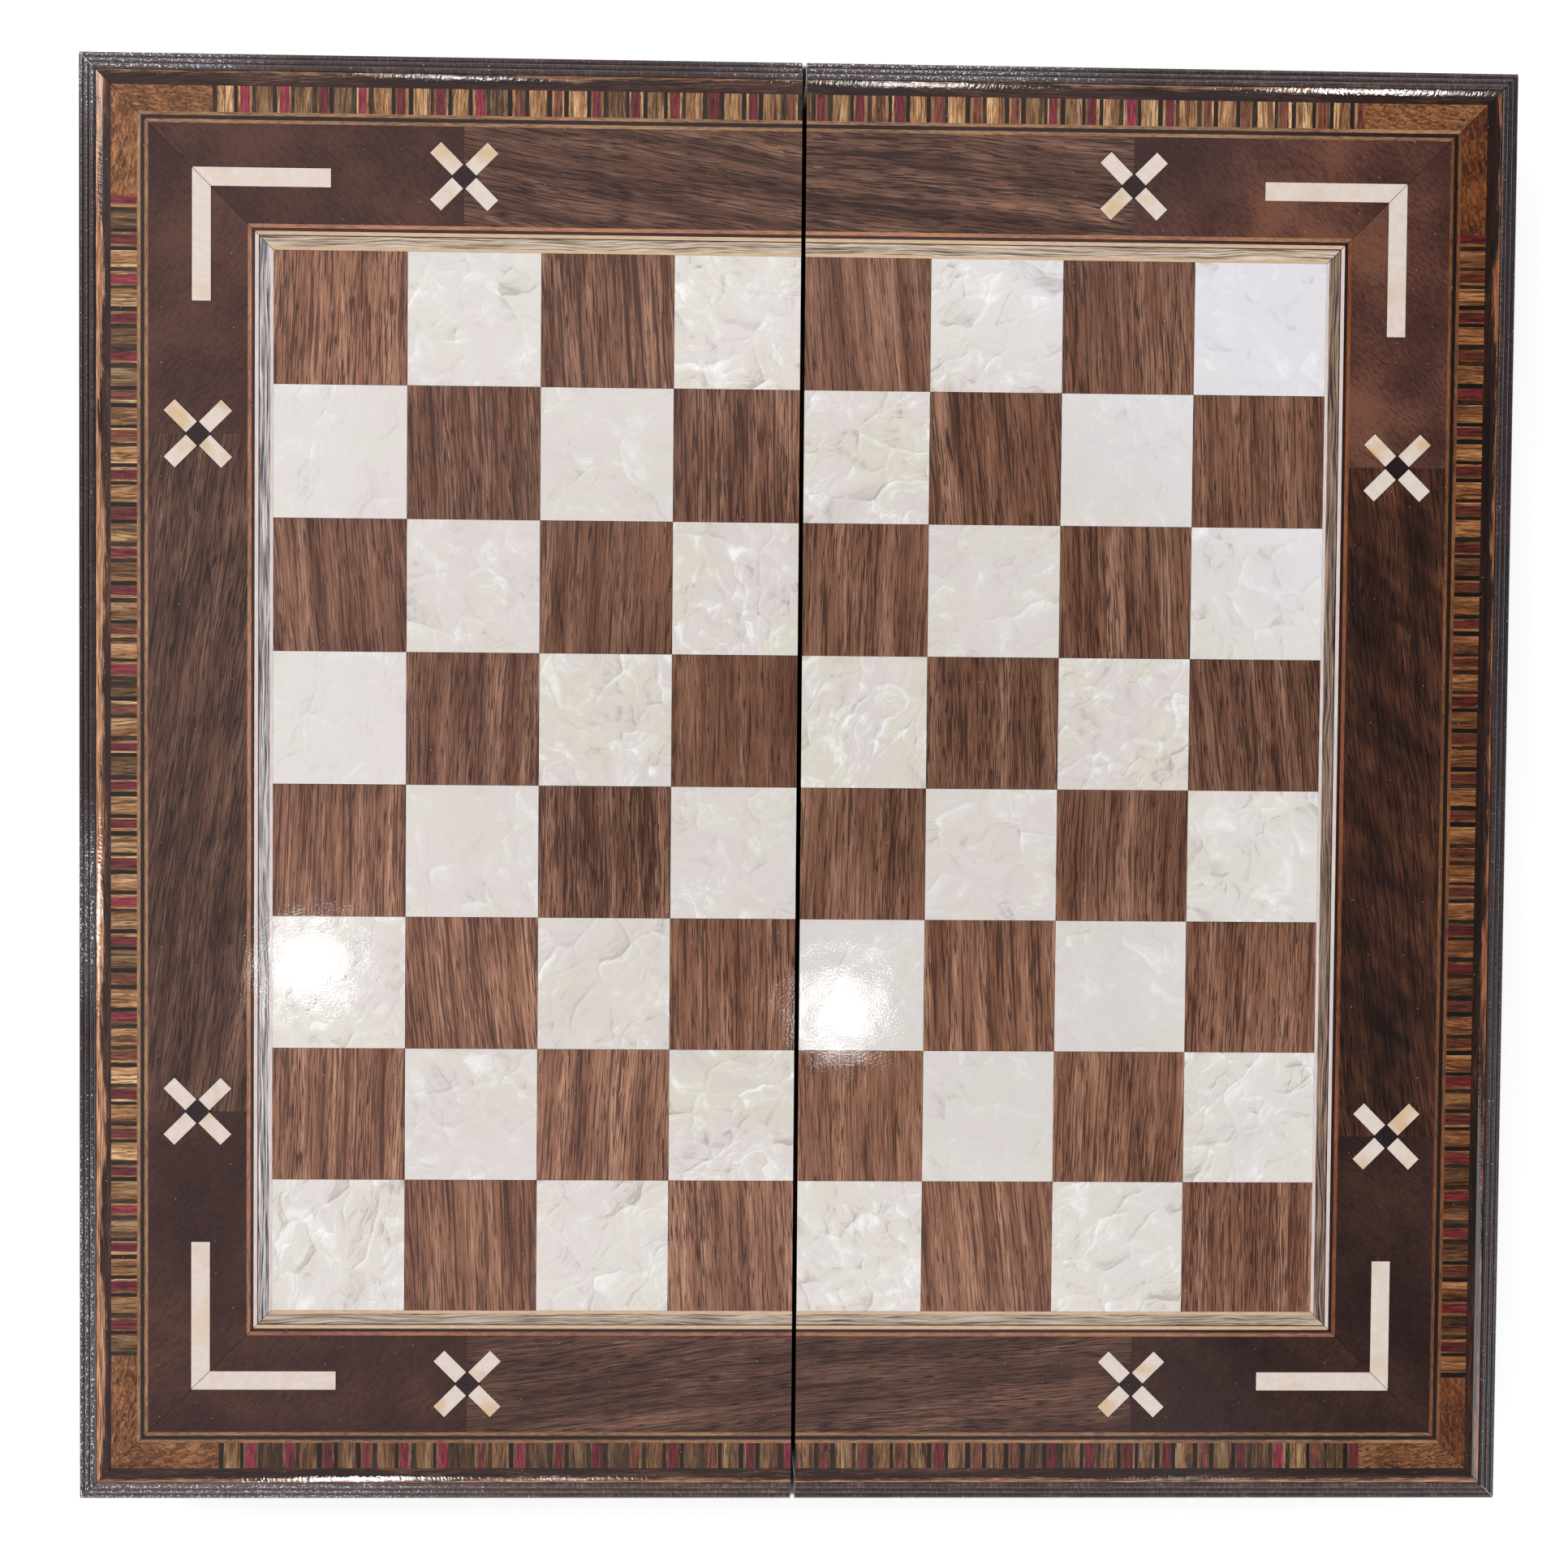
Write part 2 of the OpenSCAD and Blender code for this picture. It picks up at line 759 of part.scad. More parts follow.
// Sheet that lines the tray, cut for the points
module inner_sheet(side) {
    color("#8b6a48") tray(side) lining() difference() {
        translate([wall_t, wall_t - outer_l]) square([outer_w - 2 * wall_t, 2 * (outer_l - wall_t)]);
        for (odd = [0, 1]) {
            point_outlines(odd);
            mirror([0, 1, 0]) point_outlines(1 - odd);
        }
    }
}

// Points of one colour at both ends of a tray
module points(side, odd) {
    tray(side) lining() {
        point_outlines(odd);
        mirror([0, 1, 0]) point_outlines(1 - odd);
    }
}

// Dark points of the table game inside
module dark_points(side) {
    color("#35231b") points(side, side == LEFT ? 0 : 1);
}

// Light points of the table game inside
module light_points(side) {
    color("#d8cbb0") points(side, side == LEFT ? 1 : 0);
}

// Knuckle of one hinge, counted from the near end
module knuckle(i, r, extra) {
    y0 = i * knuckle_len - hinge_len / 2 - extra;
    translate([0, y0 + knuckle_len + 2 * extra, axis_z]) rotate([90, 0, 0])
        cylinder(r = r, h = knuckle_len + 2 * extra);
}

// One leaf with its knuckles. The left leaf has the outer ones.
module hinge_leaf(side) {
    own = side == LEFT ? 0 : 1;
    difference() {
        union() {
            translate([0, -hinge_len / 2, rim_z]) cube([leaf_w, hinge_len, leaf_t]);
            for (i = [own : 2 : knuckle_count - 1]) {
                knuckle(i, knuckle_r, 0);
            }
        }
        for (i = [1 - own : 2 : knuckle_count - 1]) {
            knuckle(i, knuckle_room, knuckle_clear);
        }
        translate([0, hinge_reach, axis_z]) rotate([90, 0, 0])
            cylinder(r = pin_r + pin_clear, h = 2 * hinge_reach);
        each_screw() {
            cylinder(r = screw_r, h = leaf_t + past);
            cylinder(r1 = screw_head_r, r2 = screw_r, h = screw_head_t);
        }
    }
}

// Both leaves of a tray
module hinge_leaves(side) {
    color("#b08d4a") for (end = [NEAR, FAR]) {
        translate([0, end * hinge_pos, 0]) on_side(side) hinge_leaf(side);
    }
}

// Pins, riveted over at both ends
module hinge_pins() {
    color("#9c7b3e") for (end = [NEAR, FAR]) {
        translate([0, end * hinge_pos, axis_z]) rotate([90, 0, 0]) {
            cylinder(r = pin_r, h = hinge_len, center = true);
            for (tip = [-1, 1]) {
                translate([0, 0, tip * (hinge_len + rivet_t) / 2])
                    cylinder(r = rivet_r, h = rivet_t, center = true);
            }
        }
    }
}

// Countersunk screws of a tray's leaves
module hinge_screws(side) {
    color("#c0a060") for (end = [NEAR, FAR]) {
        translate([0, end * hinge_pos, 0]) on_side(side) each_screw() difference() {
            union() {
                cylinder(r = screw_r, h = screw_len);
                cylinder(r1 = screw_head_r, r2 = screw_r, h = screw_head_t);
            }
            translate([-screw_head_r - past, -slot_w / 2, -past])
                cube([2 * (screw_head_r + past), slot_w, slot_w + past]);
        }
    }
}

// Hook with its eye at the origin, its arm along +X and its slot open towards -Y
module hook() {
    slot_r = peg_r + peg_clear;
    tip_x = hook_reach + slot_r + tab_len;
    difference() {
        union() {
            cylinder(r = eye_r, h = hook_t);
            translate([0, -hook_w / 2, 0]) cube([tip_x - hook_w / 2, hook_w, hook_t]);
            translate([tip_x - hook_w / 2, 0, 0]) cylinder(r = hook_w / 2, h = hook_t);
        }
        translate([0, 0, -past]) cylinder(r = pivot_r + pivot_clear, h = hook_t + 2 * past);
        translate([hook_reach, 0, -past]) cylinder(r = slot_r, h = hook_t + 2 * past);
        intersection() {
            difference() {
                translate([0, 0, -past]) cylinder(r = hook_reach + slot_r, h = hook_t + 2 * past);
                translate([0, 0, -2 * past]) cylinder(r = hook_reach - slot_r, h = hook_t + 4 * past);
            }
            translate([past, -hook_w, -past]) cube([tip_x, hook_w, hook_t + 2 * past]);
        }
    }
}

// A hook in its place on the left wall
module placed_hook(end) {
    color("#b08d4a") on_side(LEFT) translate([hook_x, end * latch_pos, latch_z])
        mirror([0, end == FAR ? 1 : 0, 0]) rotate([90, 0, 90]) hook();
}

// Round-headed fastener that stands out of an outer wall
module wall_stud(side, r, head_r) {
    for (end = [NEAR, FAR]) {
        on_side(side) translate([seam_gap / 2 + outer_w - latch_depth, end * latch_pos, latch_z])
            rotate([0, 90, 0]) {
                cylinder(r = r, h = head_x - seam_gap / 2 - outer_w + latch_depth);
                translate([0, 0, head_x - seam_gap / 2 - outer_w + latch_depth])
                    cylinder(r1 = head_r, r2 = 0.7 * head_r, h = head_t);
            }
    }
}

// Screws on which the hooks turn
module hook_screws() {
    color("#c0a060") wall_stud(LEFT, pivot_r, pivot_head_r);
}

// Pegs that the hooks catch when the board is closed
module latch_pegs() {
    color("#c0a060") wall_stud(RIGHT, peg_r, peg_head_r);
}

base_panel(LEFT);  // left_base_panel
outer_wall(LEFT);  // left_outer_wall
seam_wall(LEFT);  // left_seam_wall
end_walls(LEFT);  // left_end_walls
moulding(LEFT);  // left_moulding
edge_strip(LEFT);  // left_edge_strip
light_lines(LEFT);  // left_light_lines
black_line(LEFT);  // left_black_line
band_tan(LEFT);  // left_band_tan
band_black(LEFT);  // left_band_black
band_red(LEFT);  // left_band_red
band_corners(LEFT);  // left_band_corners
border_corners(LEFT);  // left_border_corners
border_middles(LEFT);  // left_border_middles
bone_bars(LEFT);  // left_bone_bars
bone_arms(LEFT);  // left_bone_arms
diamonds(LEFT);  // left_diamonds
frame_light(LEFT);  // left_frame_light
frame_dark(LEFT);  // left_frame_dark
frame_wood(LEFT);  // left_frame_wood
dark_squares(LEFT);  // left_dark_squares
light_squares(LEFT);  // left_light_squares
inner_sheet(LEFT);  // left_inner_sheet
dark_points(LEFT);  // left_dark_points
light_points(LEFT);  // left_light_points
hinge_leaves(LEFT);  // left_hinge_leaves
hinge_screws(LEFT);  // left_hinge_screws
base_panel(RIGHT);  // right_base_panel
outer_wall(RIGHT);  // right_outer_wall
seam_wall(RIGHT);  // right_seam_wall
end_walls(RIGHT);  // right_end_walls
moulding(RIGHT);  // right_moulding
edge_strip(RIGHT);  // right_edge_strip
light_lines(RIGHT);  // right_light_lines
black_line(RIGHT);  // right_black_line
band_tan(RIGHT);  // right_band_tan
band_black(RIGHT);  // right_band_black
band_red(RIGHT);  // right_band_red
band_corners(RIGHT);  // right_band_corners
border_corners(RIGHT);  // right_border_corners
border_middles(RIGHT);  // right_border_middles
bone_bars(RIGHT);  // right_bone_bars
bone_arms(RIGHT);  // right_bone_arms
diamonds(RIGHT);  // right_diamonds
frame_light(RIGHT);  // right_frame_light
frame_dark(RIGHT);  // right_frame_dark
frame_wood(RIGHT);  // right_frame_wood
dark_squares(RIGHT);  // right_dark_squares
light_squares(RIGHT);  // right_light_squares
inner_sheet(RIGHT);  // right_inner_sheet
dark_points(RIGHT);  // right_dark_points
light_points(RIGHT);  // right_light_points
hinge_leaves(RIGHT);  // right_hinge_leaves
hinge_screws(RIGHT);  // right_hinge_screws
hinge_pins();
hook_screws();
latch_pegs();
placed_hook(FAR);  // far_hook
placed_hook(NEAR);  // near_hook
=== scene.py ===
import math

import bpy
from mathutils import Euler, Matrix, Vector


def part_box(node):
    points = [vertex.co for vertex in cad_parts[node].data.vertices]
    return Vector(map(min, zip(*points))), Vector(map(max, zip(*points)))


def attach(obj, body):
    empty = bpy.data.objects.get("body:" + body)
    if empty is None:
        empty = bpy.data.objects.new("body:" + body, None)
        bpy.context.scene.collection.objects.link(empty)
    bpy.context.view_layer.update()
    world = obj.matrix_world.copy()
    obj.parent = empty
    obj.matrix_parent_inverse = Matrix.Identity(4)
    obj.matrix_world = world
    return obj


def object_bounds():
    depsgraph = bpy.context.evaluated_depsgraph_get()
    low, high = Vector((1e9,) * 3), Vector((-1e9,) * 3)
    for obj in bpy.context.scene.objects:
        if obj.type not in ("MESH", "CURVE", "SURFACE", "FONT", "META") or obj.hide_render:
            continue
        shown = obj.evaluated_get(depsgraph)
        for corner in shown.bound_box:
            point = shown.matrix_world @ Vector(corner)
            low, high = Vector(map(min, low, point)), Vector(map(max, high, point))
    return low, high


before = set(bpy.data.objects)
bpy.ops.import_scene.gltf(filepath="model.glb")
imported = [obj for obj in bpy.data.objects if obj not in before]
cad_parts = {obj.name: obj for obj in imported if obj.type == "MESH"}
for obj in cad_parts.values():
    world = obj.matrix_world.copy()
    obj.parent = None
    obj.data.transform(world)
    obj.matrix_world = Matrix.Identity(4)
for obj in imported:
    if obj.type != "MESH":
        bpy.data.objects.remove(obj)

CAD_LOW, CAD_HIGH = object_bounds()
MM = 1000

# The inlaid surface, in millimetres from the middle of the board
EDGE_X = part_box("right_light_lines")[1].x * MM
EDGE_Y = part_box("right_light_lines")[1].y * MM
TOP_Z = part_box("right_light_lines")[1].z * MM
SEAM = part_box("right_light_lines")[0].x * MM

# Sizes that follow part.scad, in millimetres
SQUARE = 36.5
CENTRE_TRIM = 1.8
BAND_REPEAT = 10.65
WALL_OUT = 1.2
MOULD_H = 9.4
REED_R = 1.0
REED_PITCH = 1.9
REED_DROP = 1.7
# Slit in a mitre of the moulding, measured along Y
MITRE_GAP = 0.21
# Depths from the edge at which the outermost line ends and the cream lines of the frame begin
EDGE_LINE_END = 0.75
CREAM_START = 42.7
# How far in the edge is rubbed round
RUBBED_W = 1.8

# Where a repeat of the banding starts: at the near and the far end, and on the left and right side
LEFT_STARTS = (4.4, 6.5)
RIGHT_STARTS = (1.0, 7.65)
SIDE_STARTS = (157.65, 163.35)

# About one turn, for patterns that are turned at random
TURN = 6.28


def rgb(red, green, blue):
    """A colour in the 0 to 255 values that a picture editor shows."""
    def linear(value):
        v = value / 255
        return v / 12.92 if v <= 0.04045 else ((v + 0.055) / 1.055) ** 2.4
    return (linear(red), linear(green), linear(blue), 1)


class Val:
    """Output of a shader node that can be used in sums."""

    def __init__(self, paint, socket):
        self.paint = paint
        self.socket = socket

    def __add__(self, other):
        return self.paint.math("ADD", self, other)

    def __sub__(self, other):
        return self.paint.math("SUBTRACT", self, other)

    def __rsub__(self, other):
        return self.paint.math("SUBTRACT", other, self)

    def __mul__(self, other):
        return self.paint.math("MULTIPLY", self, other)

    __radd__ = __add__
    __rmul__ = __mul__


class Paint:
    """Node tree of one material. Places are in millimetres."""

    def __init__(self, name):
        self.material = bpy.data.materials.new(name)
        self.material.use_nodes = True
        self.tree = self.material.node_tree
        self.tree.nodes.clear()
        place = self.split(self.node("ShaderNodeTexCoord").outputs["Object"])
        self.x, self.y, self.z = (v * MM for v in place)
        self.right = self.above(self.x, 0)
        self.far = self.above(self.y, 0)
        self.id = self.right

    @classmethod
    def of(cls, tree):
        """Only the helpers, for a tree that isn't a material's."""
        made = cls.__new__(cls)
        made.tree = tree
        tree.nodes.clear()
        return made

    def node(self, kind, **settings):
        made = self.tree.nodes.new(kind)
        for key, value in settings.items():
            setattr(made, key, value)
        return made

    def put(self, socket, value):
        if isinstance(value, Val):
            value = value.socket
        if isinstance(value, bpy.types.NodeSocket):
            self.tree.links.new(value, socket)
        else:
            socket.default_value = value

    def split(self, vector):
        made = self.node("ShaderNodeSeparateXYZ")
        self.put(made.inputs[0], vector)
        return [Val(self, out) for out in made.outputs]

    def vector(self, *values):
        made = self.node("ShaderNodeCombineXYZ")
        for socket, value in zip(made.inputs, values):
            self.put(socket, value)
        return made.outputs[0]

    def math(self, kind, *values):
        made = self.node("ShaderNodeMath", operation=kind)
        for socket, value in zip(made.inputs, values):
            self.put(socket, value)
        return Val(self, made.outputs[0])

    def smooth(self, value, low, high):
        """0 at low and 1 at high, with a soft start and end."""
        made = self.node("ShaderNodeMapRange", interpolation_type="SMOOTHSTEP")
        for socket, v in zip(made.inputs, (value, low, high)):
            self.put(socket, v)
        return Val(self, made.outputs[0])

    def stretch(self, value, low, high):
        """Takes low to high to 0 to 1, clamped."""
        made = self.node("ShaderNodeMapRange")
        for socket, v in zip(made.inputs, (value, low, high)):
            self.put(socket, v)
        return Val(self, made.outputs[0])

    def pick(self, share, first, second):
        """Number between first, at share 0, and second, at share 1."""
        made = self.node("ShaderNodeMix")
        for i, value in ((0, share), (2, first), (3, second)):
            self.put(made.inputs[i], value)
        return Val(self, made.outputs[0])

    def mix(self, share, first, second, how="MIX"):
        """Colour between first, at share 0, and second, at share 1."""
        made = self.node("ShaderNodeMix", data_type="RGBA", blend_type=how)
        for i, value in ((0, share), (6, first), (7, second)):
            self.put(made.inputs[i], value)
        return Val(self, made.outputs[2])

    def times(self, colour, tone):
        """The colour made lighter or darker, by a number or by another colour."""
        if isinstance(tone, Val) and tone.socket.type != "RGBA":
            tone = self.vector(tone, tone, tone)
        return self.mix(1, colour, tone, "MULTIPLY")

    def ramp(self, value, *stops):
        """Colour by value, from stops of a place and a colour."""
        made = self.node("ShaderNodeValToRGB")
        self.put(made.inputs[0], value)
        points = made.color_ramp.elements
        while len(points) < len(stops):
            points.new(0.5)
        for point, (at, colour) in zip(points, stops):
            point.position = at
            point.color = colour
        return Val(self, made.outputs[0])

    def chance(self, number):
        """Random number from 0 to 1, the same all over one piece of inlay."""
        made = self.node("ShaderNodeTexWhiteNoise", noise_dimensions="2D")
        self.put(made.inputs["Vector"], self.vector(self.id, number * 1.37))
        return Val(self, made.outputs["Value"])

    def whole(self, value):
        return self.math("FLOOR", value)

    def above(self, value, limit):
        """1 above the limit and 0 below it."""
        return self.math("GREATER_THAN", value, limit)

    def absolute(self, value):
        return self.math("ABSOLUTE", value)

    def turned(self, x, y, angle):
        """The place in axes that are turned by an angle."""
        cos, sin = self.math("COSINE", angle), self.math("SINE", angle)
        return x * cos + y * sin, y * cos - x * sin

    def by_square(self):
        """Makes each square of the field a piece of its own."""
        file = self.whole((self.absolute(self.x) - (SEAM - CENTRE_TRIM)) * (1 / SQUARE))
        self.id = file + self.right * 4 + self.whole(self.y * (1 / SQUARE)) * 8

    def by_strip(self):
        """Makes each border strip a piece. Finds the way along it and the depth from the edge."""
        beside = EDGE_X - self.absolute(self.x)
        behind = EDGE_Y - self.absolute(self.y)
        self.at_side = self.math("LESS_THAN", beside, behind)
        self.along = self.pick(self.at_side, self.x, self.y)
        self.depth = self.math("MINIMUM", beside, behind)
        self.id = self.at_side * 4 + self.right * 2 + self.far * (1 - self.at_side)
        self.leftmost = self.at_side * (1 - self.right)
        self.rightmost = self.at_side * self.right
        self.nearest = (1 - self.at_side) * (1 - self.far)
        stain = self.mix(self.rightmost, (1, 1, 1, 1), (0.56, 0.4, 0.29, 1))
        self.stain = self.mix(self.nearest, stain, (0.86, 0.84, 0.86, 1))
        self.off_mitre = self.smooth(self.absolute(beside - behind), 0.1, 1.0)

    def rubbed(self):
        """Relief, in millimetres, of the outermost strip, which is rubbed round and streaky."""
        over = self.math("MAXIMUM", RUBBED_W - self.depth, 0.0)
        streak = self.noise(self.along * 1.1 + self.depth * 0.4, self.depth * 0.3, 3.0, 2, 0.6)
        streak = (streak - 0.5) * self.math("MINIMUM", over, 0.3) * self.off_mitre
        return over * -0.27 - over * over * 0.015 + streak * 0.11

    def edge_wood(self):
        """Dark veneer with tan sapwood along its outer side, and its open pores."""
        seed = self.chance(2) * 300
        wave = self.noise(self.along * 0.025, 0.0, seed, 2)
        ragged = self.noise(self.along * 0.14, self.depth * 2.2, seed + 50, 3, 0.7)
        reach = self.pick(self.leftmost, self.pick(self.nearest + self.rightmost, 0.8, 1.2), 2.0)
        place = self.depth + (ragged - 0.5) * 4 - (wave - 0.5) * self.pick(self.nearest, 7, 3)
        sap = self.smooth(place - reach, 0.0, -0.8)
        across = self.depth + self.along * (self.chance(1) - 0.5) * 0.1
        tones = [rgb(20, 10, 9), rgb(40, 24, 20), rgb(66, 42, 33), rgb(118, 80, 58)]
        heart, holes = self.wood(self.along * 1.5, across, seed, tones, rgb(22, 11, 10),
                                 0.58, 0.55, 5, 1.3)
        grain = self.noise(self.along * 0.12, self.depth * 3, seed + 70, 3, 0.65)
        pale = self.ramp(self.stretch(grain, 0.36, 0.64),
                         (0, rgb(96, 62, 45)), (0.5, rgb(160, 112, 82)), (1, rgb(206, 158, 122)))
        # Painted highlight: on the left the tan is lighter still within about a millimetre of the
        # edge
        bright = 1.1 + self.leftmost * self.smooth(self.depth, 1.0, 0.5) * 0.35
        shade = self.pick(self.rightmost, 0.65, 1.3)
        pale = self.times(pale, self.pick(self.leftmost + self.nearest, shade, bright))
        return self.times(self.mix(sap, heart, pale), self.stain), holes

    def by_slip(self, shift, *cuts):
        """Makes each slip of the banding a piece. The cuts part the slips of one repeat."""
        self.by_strip()
        left = self.pick(self.far, *LEFT_STARTS)
        right = self.pick(self.far, *RIGHT_STARTS)
        ends = self.absolute(self.x) - self.pick(self.right, left, right)
        sides = self.y + self.pick(self.right, *SIDE_STARTS)
        place = self.pick(self.at_side, ends, sides) + shift
        count = self.whole(place * (1 / BAND_REPEAT))
        rest = place - count * BAND_REPEAT
        number = count * 3
        for cut in cuts:
            number = number + self.above(rest, cut)
        self.id = self.id + number * 8

    def noise(self, x, y, z=0.0, detail=2.0, rough=0.5):
        made = self.node("ShaderNodeTexNoise")
        self.put(made.inputs["Vector"], self.vector(x, y, z))
        made.inputs["Scale"].default_value = 1
        made.inputs["Detail"].default_value = detail
        made.inputs["Roughness"].default_value = rough
        return Val(self, made.outputs[0])

    def slope(self, height, millimetres):
        """Painted light and shade: how steeply a height rises towards a fixed light from the far
        left, from -1 to 1.
        """
        made = self.node("ShaderNodeVectorMath", operation="DOT_PRODUCT")
        self.put(made.inputs[0], self.bump(height, millimetres))
        made.inputs[1].default_value = (-0.8, 0.6, 0)
        return Val(self, made.outputs["Value"])

    def folds(self, x, y):
        """Crumpled film: the tone of its silky, slanted flats, each painted lighter towards one side
        as light and shade on a tilt, and how far off the next crease is.
        """
        flat = self.node("ShaderNodeTexVoronoi", voronoi_dimensions="2D")
        edge = self.node("ShaderNodeTexVoronoi", voronoi_dimensions="2D",
                         feature="DISTANCE_TO_EDGE")
        for made in (flat, edge):
            self.put(made.inputs["Vector"], self.vector(x, y))
            made.inputs["Scale"].default_value = 1
        tone, turn, steep = self.split(flat.outputs["Color"])
        middle = self.split(flat.outputs["Position"])
        slant, level = self.turned(x - middle[0], y - middle[1], turn * TURN)
        silk = self.noise(slant * 4, level * 0.9, tone * 60, 2, 0.6)
        distance = Val(self, edge.outputs["Distance"])
        silk = (silk - 0.5) * self.smooth(distance, 0.0, 0.12) * 2.4
        crease = self.math("MINIMUM", distance, 0.1)
        return (tone - 0.5) * 0.4 + slant * steep * 1.4 + silk, crease

    def wood(self, along, across, seed, tones, dark, lines=0.6, pores=0.66, wander=2.0, fine=1.0):
        """Grain that runs along: broad bands, fibres, dark lines and short open pores.
        Lines and pores are levels: the lower they are, the more there is of each."""
        drift = self.noise(along * 0.02, across * 0.04, seed, 2)
        side = (across + (drift - 0.5) * wander) * fine
        band = self.noise(along * 0.012, side * 0.22, seed + 5, 2)
        fibre = self.noise(along * 0.09, side * 2.6, seed + 17, 3, 0.65)
        tone = self.stretch(band * 0.5 + fibre * 0.5, 0.36, 0.64)
        last = len(tones) - 1
        colour = self.ramp(tone, *[(i / last, t) for i, t in enumerate(tones)])
        line = self.noise(along * 0.035, side * 1.3, seed + 11, 1)
        line = self.smooth(line, lines - 0.03, lines + 0.07)
        level = (self.noise(along * 0.03, side * 0.25, seed + 31, 1) - 0.5) * 0.3 + pores
        pore = self.noise(along * 0.15, side * 3.6, seed + 23, 1)
        pore = self.smooth(pore, level - 0.02, level + 0.07)
        deep = self.math("MAXIMUM", pore * 0.85, line * 0.7)
        return self.mix(deep, colour, dark), deep

    def bump(self, height, millimetres, below=None):
        """Normal of a relief, which may lie on the relief below."""
        made = self.node("ShaderNodeBump")
        made.inputs["Distance"].default_value = millimetres / MM
        self.put(made.inputs["Height"], height)
        if below:
            self.put(made.inputs["Normal"], below)
        return made.outputs[0]

    def peel(self, depth=1.0, relief=None):
        """Brushed lacquer: slow waves, orange peel, and any relief, which is in millimetres."""
        wave = self.bump(self.noise(self.x * 0.12, self.y * 0.12, self.z * 0.12, 1), 0.05 * depth)
        skin = self.noise(self.x * 1.7, self.y * 1.7, self.z * 1.7, 1, 0.5)
        skinned = self.bump(skin, 0.008 * depth, wave)
        return skinned if relief is None else self.bump(relief, 1.0, skinned)

    def dust_and_glints(self, colour):
        """A few specks of dust in the lacquer, painted pale as small glints."""
        spots = self.node("ShaderNodeTexVoronoi", voronoi_dimensions="2D")
        self.put(spots.inputs["Vector"], self.vector(self.x, self.y))
        spots.inputs["Scale"].default_value = 0.2
        rare, size, _ = self.split(spots.outputs["Color"])
        near = self.smooth(Val(self, spots.outputs["Distance"]), size * 0.05, 0.0)
        return self.mix(near * self.above(rare, 0.72) * 0.6, colour, rgb(214, 204, 196))

    def finish(self, colour, height=None, depth=0.03, rough=0.5, coat=1.0, coat_rough=0.05,
               peel=1.0, specular=0.15, metal=0.0, relief=None):
        """The finished material: a surface rubbed smoother in some places, under a lacquer coat.
        Height and its depth, in millimetres, are the surface's. Peel and relief are the coat's."""
        shader = self.node("ShaderNodeBsdfPrincipled")
        worn = self.noise(self.x * 0.07, self.y * 0.07, self.z * 0.07, 3, 0.65)
        rough = self.pick(self.stretch(worn, 0.36, 0.64), rough - 0.07, rough + 0.07)
        # The base colour carries the dust specks, painted pale as glints
        self.put(shader.inputs["Base Color"], self.dust_and_glints(colour))
        self.put(shader.inputs["Roughness"], rough)
        for socket, value in (("Metallic", metal), ("Specular IOR Level", specular),
                              ("Coat Weight", coat), ("Coat Roughness", coat_rough)):
            shader.inputs[socket].default_value = value
        if height is not None:
            self.put(shader.inputs["Normal"], self.bump(height, depth))
        if coat > 0:
            self.put(shader.inputs["Coat Normal"], self.peel(peel, relief))
        out = self.node("ShaderNodeOutputMaterial")
        self.put(out.inputs["Surface"], shader.outputs[0])
        return self.material


def dark_squares():
    """Walnut with fine dark lines. The near rows and the outer squares on the left are lighter."""
    p = Paint("walnut_squares")
    p.by_square()
    tilt = (p.chance(1) - 0.35) * 0.16
    tones = [rgb(86, 52, 37), rgb(112, 75, 57), rgb(132, 93, 73), rgb(166, 124, 101)]
    colour, pores = p.wood(p.y, p.x + p.y * tilt, p.chance(2) * 300, tones, rgb(42, 22, 16),
                           p.pick(p.chance(4), 0.54, 0.62), p.pick(p.chance(6), 0.54, 0.61))
    near = p.smooth(p.y, -20, -50)
    corner = p.smooth(p.x, -100, -112) * p.smooth(p.y, 100, 112)
    edge = p.smooth(p.math("MAXIMUM", p.y, p.x * -1), 30, 110)
    side = p.smooth(p.x, -90, -115) * p.smooth(p.y, 5, -15)
    tone = 0.99 + near * 0.42 + corner * 0.6 + edge * 0.1 + (1 - near) * side * 0.4
    colour = p.times(colour, tone * p.pick(p.chance(3), 0.96, 1.04))
    return p.finish(colour, pores * -1, rough=0.55)


